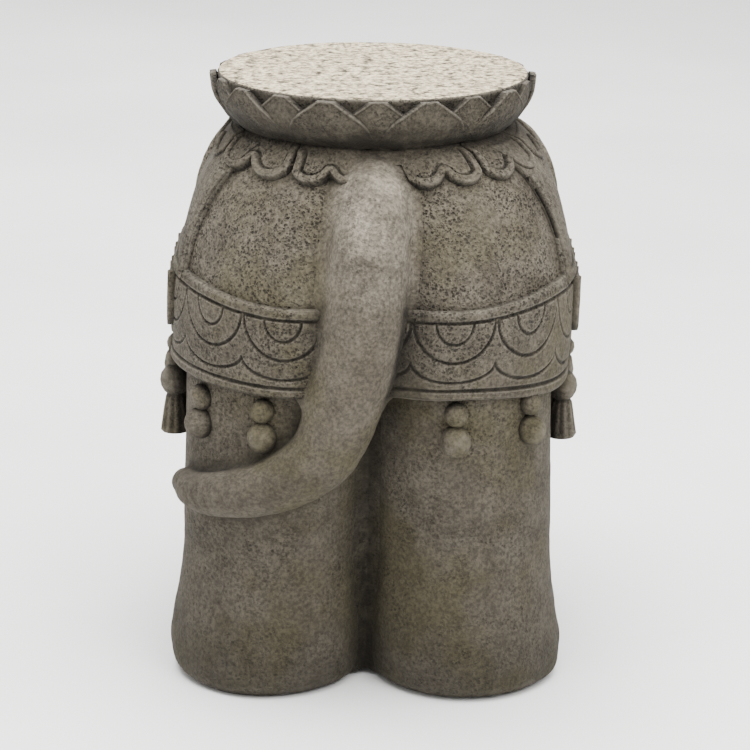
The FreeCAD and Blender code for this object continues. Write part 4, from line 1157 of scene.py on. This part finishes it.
def stone_material(name):
    """Cast stone: cement and coarse sand from a mould, pitted where air was trapped and stained outdoors, with
    painted shade in hollows, under overhangs and towards the bottom, and a painted highlight on edges.
    """
    colours = bpy.context.scene.stand_colours
    material, place = new_material(name)
    pattern = partial(clouds, place)

    def cells(size):
        return add_node(place.id_data, "ShaderNodeTexVoronoi", None,
                        {"Vector": place, "Scale": 1000 / size}).outputs["Distance"]

    def stored(label):
        return add_node(place.id_data, "ShaderNodeAttribute", {"attribute_name": label}).outputs["Fac"]

    height = add_node(place.id_data, "ShaderNodeSeparateXYZ", None, {0: place}).outputs["Z"]
    light = mixed(stored("dry"), colours.stone_light, colours.tail_wash)
    tone = mixed(ramp(pattern(26, 5, 0.6), 0.3, 0.66, 0.3, 0.9), colours.stone_dark, light)
    tone = mixed(ramp(pattern(6, 4, 0.65), 0.42, 0.68, 0, 0.45), tone, light)
    tone = mixed(ramp(pattern(4.5, 3, 0.7), 0.5, 0.72, 0, 0.45), tone, colours.stone_dark)
    moss = times(ramp(pattern(85, 3, 0.55), 0.44, 0.62), ramp(height, 0.43, 0.24, 0.1, 0.6))
    tone = mixed(moss, tone, colours.moss)
    tone = shaded(tone, ramp(pattern(2.8, 3, 0.65), 0.32, 0.68, 0.68, 1.34))
    # Painted shade: the stone darkens towards the bottom, as if lit from above
    tone = mixed(ramp(height, 0.32, 0.12, 0, 0.36), tone, colours.grime_and_shade)
    tone = mixed(ramp(height, 0.1, 0.0, 0, 0.36), tone, colours.grime_and_shade)
    dense = times(ramp(pattern(55, 3, 0.6), 0.38, 0.58, 0.3), ramp(height, 0.2, 0.31, 0.45))
    dense = times(dense, stored("pitted"))
    pits = times(times(ramp(cells(3.1), 0.44, 0.2), ramp(pattern(8, 3, 0.6), 0.4, 0.52)), dense)
    specks = times(times(ramp(cells(1.9), 0.46, 0.2), ramp(pattern(5, 3, 0.6), 0.36, 0.5)), dense)
    tone = mixed(times(pits, 0.75), tone, colours.grime_and_shade)
    tone = mixed(times(specks, 0.6), tone, colours.grime_and_shade)
    # Worn edges with a painted highlight, from the stored wear
    tone = mixed(times(stored("wear_and_highlight"), ramp(pattern(6), 0.25, 0.6, 0.35, 0.9)), tone, colours.wear_and_highlight)
    # Grime with painted shade, from the stored hollows, grooves and downward faces
    tone = mixed(times(stored("grime_and_shade"), ramp(pattern(11, 4), 0.2, 0.6, 0.62, 0.95)), tone, colours.grime_and_shade)

    grit = added(pattern(1.6, 3, 0.7), 0.35, times(pattern(9, 4, 0.65), 0.9))
    dents = added(specks, -0.6, added(pits, -1.1, grit))
    set_surface({"Base Color": tone, "Roughness": ramp(pattern(14), 0.3, 0.7, 0.84, 0.97),
                 "Normal": relief(0.9, 0.002, dents), "IOR": 1.5, "Specular IOR Level": 0.25})
    return material


def sand_material():
    """Scoured seat top: bare coarse sand and cement, pale and dry, with grit standing out."""
    colours = bpy.context.scene.stand_colours
    material, place = new_material("scoured_seat_sand")
    coarse, grit, patches = clouds(place, 9, 4, 0.7), clouds(place, 4, 3, 0.65), clouds(place, 60, 3, 0.5)
    tone = add_node(place.id_data, "ShaderNodeValToRGB", None, {"Fac": coarse})
    for stop, at, tint in zip(tone.color_ramp.elements, (0.36, 0.54), (colours.sand_shade, colours.sand)):
        stop.position, stop.color = at, (*tint, 1)
    share = times(ramp(grit, 0.4, 0.54, 0.4, 1, "LINEAR"), ramp(patches, 0.35, 0.65, 0.88, 1, "LINEAR"))
    set_surface({"Base Color": shaded(tone.outputs["Color"], share), "Roughness": 0.95,
                 "Normal": relief(0.8, 0.0016, added(grit, 0.5, coarse)), "IOR": 1.5, "Specular IOR Level": 0.2})
    return material


def plain_material(name, tint, metallic, roughness, grain):
    """A hidden or staging surface: one colour with faint cloudy variation at the grain given in millimetres."""
    material, place = new_material(name)
    cloud = clouds(place, grain, 4, 0.5)
    shade = shaded(tuple(tint), ramp(cloud, 0.3, 0.7, 0.86, 1, "LINEAR"))
    set_surface({"Base Color": shade, "Roughness": roughness, "Metallic": metallic,
                 "Normal": relief(0.3, 0.0005, cloud)})
    return material


def finish(name):
    """A finish by name, made once."""
    found = bpy.data.materials.get(name)
    if found:
        return found
    colours = bpy.context.scene.stand_colours
    if name == STONE:
        return stone_material(name)
    if name == "scoured_seat_sand":
        return sand_material()
    if name == "lime_mortar":
        return plain_material(name, colours.mortar, 0, 0.95, 4)
    return plain_material(name, colours.steel, 1, 0.45, 3)


def flank_box(side, near, far, low, high):
    """Corners of a box on one side, between two distances from the middle, from low to high in y and z."""
    return (min(side * near, side * far), *low), (max(side * near, side * far), *high)


class StandOperator(bpy.types.Operator):
    """Shared base of the stand's operators."""
    bl_options = {"REGISTER", "UNDO"}

    def carve(self, name, form, low, high, nodes, step=None, **looks):
        """A piece of stone from a form inside a box."""
        points, faces = net(form, low, high, step or mm("cell"))
        return add_piece(name, points, faces, nodes, finish(STONE), **looks)


class STAND_OT_torso(StandOperator):
    """The hollow body with its two cheeks"""
    bl_idname = "stand.torso"
    bl_label = "Torso"

    def execute(self, context):
        self.carve("torso_stone", seated(torso, core, 0), (-150, -154, BELT), (150, 154, BACK_TOP), ["torso_shell"],
                   step=TORSO_CELL)
        return {"FINISHED"}


class STAND_OT_legs(StandOperator):
    """Four column legs with flared feet"""
    bl_idname = "stand.legs"
    bl_label = "Legs"

    def execute(self, context):
        for side_name, side in SIDES.items():
            for end_name, end in ENDS.items():
                form = seated(partial(leg, side=side, end=end), core, 0)
                low = np.minimum((0, 0, 0), (side * 155, end * 158, 0)) - (3, 3, 0)
                high = np.maximum((0, 0, 0), (side * 155, end * 158, 0)) + (3, 3, BELT + 3)
                name = f"{end_name}_leg_{side_name}"
                self.carve("stone_" + name, form, low, high, [name])
        return {"FINISHED"}


class STAND_OT_webs(StandOperator):
    """Recessed webs between the legs"""
    bl_idname = "stand.webs"
    bl_label = "Webs"

    def execute(self, context):
        for end_name, end in ENDS.items():
            def form(x, y, z, end=end):
                pair = legs(x, y, z, end=end)
                web = filleted(end_web(x, y, z, end), pair, 12)
                return np.maximum.reduce([web, -(pair + 3), -core(x, y, z), np.abs(x) - 50, -z + 2, z - BELT - 2,
                                          slab(end * y, 50, REAR_WEB_Y + 14)])
            name = "rear_web" if end > 0 else "chest_web"
            near, far = sorted((end * 50, end * 124))
            # Painted shade in the recessed web between the legs
            self.carve("stone_" + name, form, (-52, near, 2), (52, far, BELT), [name], stain=0.5)
        for side_name, side in SIDES.items():
            def form(x, y, z, side=side):
                pair = legs(x, y, z, side=side)
                web = filleted(flank_web(x, y, z, side), pair, 12)
                return np.maximum.reduce([web, -(pair + 3), -core(x, y, z), np.abs(y) - 62, -z + 2, z - BELT - 2,
                                          slab(side * x, 50, FLANK_WEB_X + 14)])
            self.carve(f"stone_flank_web_{side_name}", form, *flank_box(side, 50, 120, (-64, 2), (64, BELT)),
                       [f"flank_web_{side_name}"])
        return {"FINISHED"}


class STAND_OT_bellies(StandOperator):
    """The belly's bulge on each flank"""
    bl_idname = "stand.bellies"
    bl_label = "Bellies"

    def execute(self, context):
        for side_name, side in SIDES.items():
            def form(x, y, z, side=side):
                around = np.minimum(legs(x, y, z, side=side), side * x - FLANK_WEB_X)
                bulge = filleted(belly(x, y, z, side), around, 14)
                return np.maximum.reduce([bulge, -(around + 3), belly(x, y, z, side) - 12, z - BELT - 2])
            self.carve(f"stone_belly_{side_name}", form, *flank_box(side, 96, 152, (-72, 130), (72, BELT + 2)),
                       [f"belly_{side_name}"])
        return {"FINISHED"}


class STAND_OT_bands(StandOperator):
    """Engraved harness bands round rump and chest"""
    bl_idname = "stand.bands"
    bl_label = "Harness bands"

    def execute(self, context):
        for side_name in SIDES:
            for end_name in ENDS:
                make_band(side_name, end_name, finish(STONE))
        return {"FINISHED"}


class STAND_OT_collar(StandOperator):
    """The collar of lappets under the seat"""
    bl_idname = "stand.collar"
    bl_label = "Collar"

    def execute(self, context):
        make_collar(finish(STONE))
        return {"FINISHED"}


class STAND_OT_blankets(StandOperator):
    """Saddle blankets and their borders"""
    bl_idname = "stand.blankets"
    bl_label = "Saddle blankets"

    def execute(self, context):
        for side_name in SIDES:
            make_blanket(side_name, finish(STONE))
        return {"FINISHED"}


class STAND_OT_tabs(StandOperator):
    """Pendant tabs under the blankets' hems"""
    bl_idname = "stand.tabs"
    bl_label = "Pendant tabs"

    def execute(self, context):
        for side_name, side in SIDES.items():
            places = [(side * (HALF_WIDTH + 4.6), spot * TAB_PITCH, HEM + 1) for spot in TAB_SPOTS]
            turns = [(0, 0, -side * math.pi / 2)] * 3
            on_spots(f"stone_tabs_{side_name}", tab_shape(), places, turns, [(1, 1, 1)] * 3,
                     [f"pendant_tabs_{side_name}"], finish(STONE), stain=0.1)
        return {"FINISHED"}


class STAND_OT_tassels(StandOperator):
    """Beaded tassels on the flanks"""
    bl_idname = "stand.tassels"
    bl_label = "Tassels"

    def execute(self, context):
        for side_name, side in SIDES.items():
            places = [(side * (HALF_WIDTH + 1.5), spot * TAB_PITCH, TASSEL_TOP) for spot in TAB_SPOTS]
            turns = [(0, 0, 0.4 * spot) for spot in TAB_SPOTS]
            on_spots(f"stone_tassels_{side_name}", tassel_shape(), places, turns, [(1, 1, 1)] * 3,
                     [f"flank_tassels_{side_name}"], finish(STONE), stain=0.15)
        return {"FINISHED"}


class STAND_OT_bead_drops(StandOperator):
    """Drops of two beads under the bands"""
    bl_idname = "stand.bead_drops"
    bl_label = "Bead drops"

    def execute(self, context):
        points, faces = turned(ball_profile(17), 28)
        for (side_name, end_name), pair in DROP_ANGLES.items():
            side, end = SIDES[side_name], ENDS[end_name]
            places, sizes = [], []
            for angle in np.radians(pair):
                for z, radius, lift in BEADS:
                    reach = leg_reach(angle, z) + lift
                    places.append((side * (THIGH_X + math.sin(angle) * reach),
                                   end * (THIGH_Y + math.cos(angle) * reach), z))
                    sizes.append((radius, radius * 0.97, radius * 1.06))
            turns = [(0.2 * i, 0.15 * i, 0.7 * i) for i in range(len(places))]
            name = f"{end_name}_bead_drops_{side_name}"
            on_spots("stone_" + name, local_mesh("bead", points, faces), places, turns, sizes, [name],
                     finish(STONE), lumps=1.0)
        return {"FINISHED"}


class STAND_OT_toenails(StandOperator):
    """Toenails on the forefeet"""
    bl_idname = "stand.toenails"
    bl_label = "Toenails"

    def execute(self, context):
        for side_name, side in SIDES.items():
            places, turns = [], []
            for angle in np.radians(NAIL_ANGLES):
                places.append((side * (THIGH_X + SPLAY + math.sin(angle) * NAIL_REACH),
                               -(THIGH_Y + SPLAY + math.cos(angle) * NAIL_REACH), 1.5))
                turns.append((0, 0, math.pi + side * angle))
            on_spots(f"stone_toenails_{side_name}", nail_shape(), places, turns, [(1, 1, 1)] * 4,
                     [f"toenails_{side_name}"], finish(STONE))
        return {"FINISHED"}


class STAND_OT_tail(StandOperator):
    """The tail, lying round the left hind leg"""
    bl_idname = "stand.tail"
    bl_label = "Tail"

    def execute(self, context):
        fillet = mm("tail_blend")

        def form(x, y, z):
            rope, rump = tail(x, y, z), torso(x, y, z)
            column = leg(x, y, z, 1, 1)
            joined = blend(filleted(rope, rump, fillet), column, 6)
            return np.maximum.reduce([joined, -(rump + 5), -(column + 3), rope - 0.8 * fillet, z - BACK_TOP + 1])

        def dry(x, y, z):
            return np.clip(1 - tail(x, y, z) / (0.5 * fillet), 0, 1) * np.clip((z - 305) / 70, 0, 1) * 0.85

        self.carve("stone_tail", form, (-58, 84, 130), (158, 184, BACK_TOP), ["tail"], dry=dry, stain=0.08,
                   pitted=0.3)
        return {"FINISHED"}


class STAND_OT_head(StandOperator):
    """Head and face"""
    bl_idname = "stand.head"
    bl_label = "Head"

    def execute(self, context):
        self.carve("stone_head", seated(head, torso, 4), (-82, -218, 226), (82, -90, 416), ["head"])
        return {"FINISHED"}


class STAND_OT_trunk(StandOperator):
    """The ringed trunk"""
    bl_idname = "stand.trunk"
    bl_label = "Trunk"

    def execute(self, context):
        def form(x, y, z):
            face = head(x, y, z)
            hose = trunk(x, y, z)
            return np.maximum.reduce([blend(hose, face, 16), -(face + 4), hose - 12, -z + 18])
        self.carve("stone_trunk", form, (-56, -228, 20), (56, -140, 360), ["trunk"])
        return {"FINISHED"}


class STAND_OT_ears(StandOperator):
    """The fanned ears"""
    bl_idname = "stand.ears"
    bl_label = "Ears"

    def execute(self, context):
        for side_name, side in SIDES.items():
            self.carve(f"stone_ear_{side_name}", seated(partial(ear, side=side), torso, 4),
                       *flank_box(side, 46, 160, (-196, 244), (-96, 400)), [f"ear_{side_name}"])
        return {"FINISHED"}


class STAND_OT_tusks(StandOperator):
    """The short tusks"""
    bl_idname = "stand.tusks"
    bl_label = "Tusks"

    def execute(self, context):
        for side_name, side in SIDES.items():
            def form(x, y, z, side=side):
                return np.maximum(tube(side * x, y, z, TUSK_PATH)[0], -(head(x, y, z) + 6))
            self.carve(f"stone_tusk_{side_name}", form, *flank_box(side, 12, 62, (-230, 226), (-165, 296)),
                       [f"tusk_{side_name}"], step=1.3, lumps=0.4)
        return {"FINISHED"}


class STAND_OT_eyes(StandOperator):
    """Eyes with their lids"""
    bl_idname = "stand.eyes"
    bl_label = "Eyes"

    def execute(self, context):
        self.carve("stone_eyes", seated(eye, head, 5), (-72, -198, 330), (72, -170, 354), ["eyes"], step=0.9,
                   lumps=0.3)
        return {"FINISHED"}


class STAND_OT_forehead_plate(StandOperator):
    """The ornament on the forehead"""
    bl_idname = "stand.forehead_plate"
    bl_label = "Forehead plate"

    def execute(self, context):
        self.carve("stone_forehead_plate", seated(plate, head, 5), (-28, -216, 330), (28, -180, 402),
                   ["forehead_plate"], step=1.1, lumps=0.4)
        return {"FINISHED"}


class STAND_OT_seat(StandOperator):
    """The seat's core with its scoured top"""
    bl_idname = "stand.seat"
    bl_label = "Seat"

    def execute(self, context):
        profile = [(radius, SEAT_TOP - 0.4) for radius in np.linspace(0, 116, 48)]
        profile += [(118.2, SEAT_TOP - 0.9), (119.4, SEAT_TOP - 2.4)]
        heights = np.linspace(SEAT_TOP - 4.5, SEAT_UNDER, 20)
        profile += [(float(seat_radius(z)), z) for z in heights]
        profile += [(radius, SEAT_UNDER) for radius in np.linspace(98, 0, 12)]
        points, faces = turned(profile, 220)
        # Painted shade on the bowl's side below the top
        piece = add_piece("stone_seat", points, faces, ["lotus_seat"], finish(STONE), "seat_stone", lumps=0.45,
                          stain=0.45 * (points[:, 2] < SEAT_TOP - 2))
        piece.data.materials.append(finish("scoured_seat_sand"))
        middles = points[faces].mean(1)
        on_top = (middles[:, 2] > SEAT_TOP - 1.5).astype(np.int32)
        piece.data.polygons.foreach_set("material_index", on_top)
        return {"FINISHED"}


class STAND_OT_petals(StandOperator):
    """Two rows of lotus petals round the seat"""
    bl_idname = "stand.petals"
    bl_label = "Lotus petals"

    def execute(self, context):
        sizes = context.scene.stand_sizes
        tree = ring_tree()
        first, half_turn = math.radians(2), math.pi / sizes.petal_count
        for row, lift, start, breadth in (("inner", 0, first, 1.0),
                                          ("outer", mm("petal_layer"), first + half_turn, 1.03)):
            shape = petal_shape(lift, breadth)
            mesh = grown(row, shape, tree, {"Count": sizes.petal_count, "First angle": start,
                                            "Axis": (0, AXIS_Y / 1000, 0), "Finish": finish(STONE)})
            # Painted shade on the petals, which face down under the seat's rim
            grown_piece(f"stone_petals_{row}", mesh, [f"lotus_petals_{row}"], finish(STONE), lumps=0.4, stain=0.42)
        return {"FINISHED"}


class STAND_OT_mortar(StandOperator):
    """Mortar squeezed out under the seat"""
    bl_idname = "stand.mortar"
    bl_label = "Mortar bed"

    def execute(self, context):
        def squeeze(angle, z):
            bulge = 0.04 * np.exp(-((angle - 1.7) / 0.12) ** 2)
            return 1 + 0.012 * np.sin(angle * 3 + 1) + 0.01 * np.sin(angle * 7) + bulge

        profile = [(r, SEAT_UNDER + 0.6) for r in (0.1, 40, 80)] + [
            (98, SEAT_UNDER + 0.8), (100.2, SEAT_UNDER - 0.2), (101, SEAT_UNDER - 1.5), (100.4, BACK_TOP - 0.6),
            (98, BACK_TOP - 2)] + [(r, BACK_TOP - 0.5) for r in (80, 40, 0.1)]
        points, faces = turned(profile, 180, squeeze)
        add_piece("lime_mortar_bed", points, faces, ["mortar_bed"], finish("lime_mortar"), "mortar", lumps=0.6)
        return {"FINISHED"}


class STAND_OT_steel(StandOperator):
    """Bare steel on the hidden dowels and bars"""
    bl_idname = "stand.steel"
    bl_label = "Dowels and bars"

    def execute(self, context):
        for name in ("seat_dowels", "leg_bars"):
            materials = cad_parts[name].data.materials
            materials.clear()
            materials.append(finish("bare_mild_steel"))
        return {"FINISHED"}


class STAND_OT_stage(StandOperator):
    """Floor, soft studio light and the camera"""
    bl_idname = "stand.stage"
    bl_label = "Stage"

    def execute(self, context):
        scene = context.scene
        colours = scene.stand_colours
        mesh = bpy.data.meshes.new("studio_floor")
        turns = ((-1, -1), (1, -1), (1, 1), (-1, 1))
        mesh.from_pydata([(x * FLOOR_REACH, y * FLOOR_REACH, 0) for x, y in turns], [], [(0, 1, 2, 3)])
        mesh.materials.append(plain_material("studio_paper", colours.floor, 0, 0.9, 600))
        floor = bpy.data.objects.new("studio_floor", mesh)
        scene.collection.objects.link(floor)

        world = scene.world or bpy.data.worlds.new("Studio")
        scene.world = world
        world.use_nodes = True
        background = world.node_tree.nodes["Background"]
        background.inputs["Color"].default_value = SKY
        background.inputs["Strength"].default_value = SKY_STRENGTH
        for name, place, size, power in LAMPS:
            lamp = bpy.data.lights.new(name, "AREA")
            lamp.size, lamp.energy = size, power
            rig = bpy.data.objects.new(name, lamp)
            scene.collection.objects.link(rig)
            rig.location = place
            rig.rotation_euler = (LAMP_AIM - Vector(place)).to_track_quat("-Z", "Y").to_euler()

        camera = bpy.data.cameras.new("Camera")
        camera.lens, camera.sensor_width = CAMERA_LENS, 36.0
        camera.clip_end = 50
        rig = bpy.data.objects.new("Camera", camera)
        scene.collection.objects.link(rig)
        rig.location = CAMERA_PLACE
        aim = Euler((math.radians(90 - CAMERA_PITCH), 0, math.pi)).to_matrix()
        rig.rotation_euler = (aim @ Matrix.Rotation(math.radians(CAMERA_ROLL), 3, "Z")).to_euler()
        scene.camera = rig
        return {"FINISHED"}


PIECES = (STAND_OT_torso, STAND_OT_legs, STAND_OT_webs, STAND_OT_bellies, STAND_OT_bands, STAND_OT_collar,
          STAND_OT_blankets, STAND_OT_tabs, STAND_OT_tassels, STAND_OT_bead_drops, STAND_OT_toenails, STAND_OT_tail,
          STAND_OT_head, STAND_OT_trunk, STAND_OT_ears, STAND_OT_tusks, STAND_OT_eyes, STAND_OT_forehead_plate,
          STAND_OT_seat, STAND_OT_petals, STAND_OT_mortar, STAND_OT_steel, STAND_OT_stage)


class STAND_PT_panel(bpy.types.Panel):
    """Sizes, colours and pieces of the stand"""
    bl_idname = "STAND_PT_panel"
    bl_label = "Elephant Stand"
    bl_space_type = "VIEW_3D"
    bl_region_type = "UI"
    bl_category = "Stand"

    def draw(self, context):
        for group in (context.scene.stand_sizes, context.scene.stand_colours):
            box = self.layout.box()
            for label in group.__annotations__:
                box.prop(group, label)
        for piece in PIECES:
            self.layout.operator(piece.bl_idname)


CLASSES = (StandSizes, StandColours, *PIECES, STAND_PT_panel)


def register():
    """Make the stand known to Blender."""
    for item in CLASSES:
        bpy.utils.register_class(item)
    bpy.types.Scene.stand_sizes = bpy.props.PointerProperty(type=StandSizes)
    bpy.types.Scene.stand_colours = bpy.props.PointerProperty(type=StandColours)


def unregister():
    """Take the stand out of Blender."""
    del bpy.types.Scene.stand_colours, bpy.types.Scene.stand_sizes
    for item in reversed(CLASSES):
        bpy.utils.unregister_class(item)


def main():
    """Make every piece in order."""
    register()
    for piece in PIECES:
        group, name = piece.bl_idname.split(".")
        getattr(getattr(bpy.ops, group), name)()


if __name__ == "__main__":
    main()
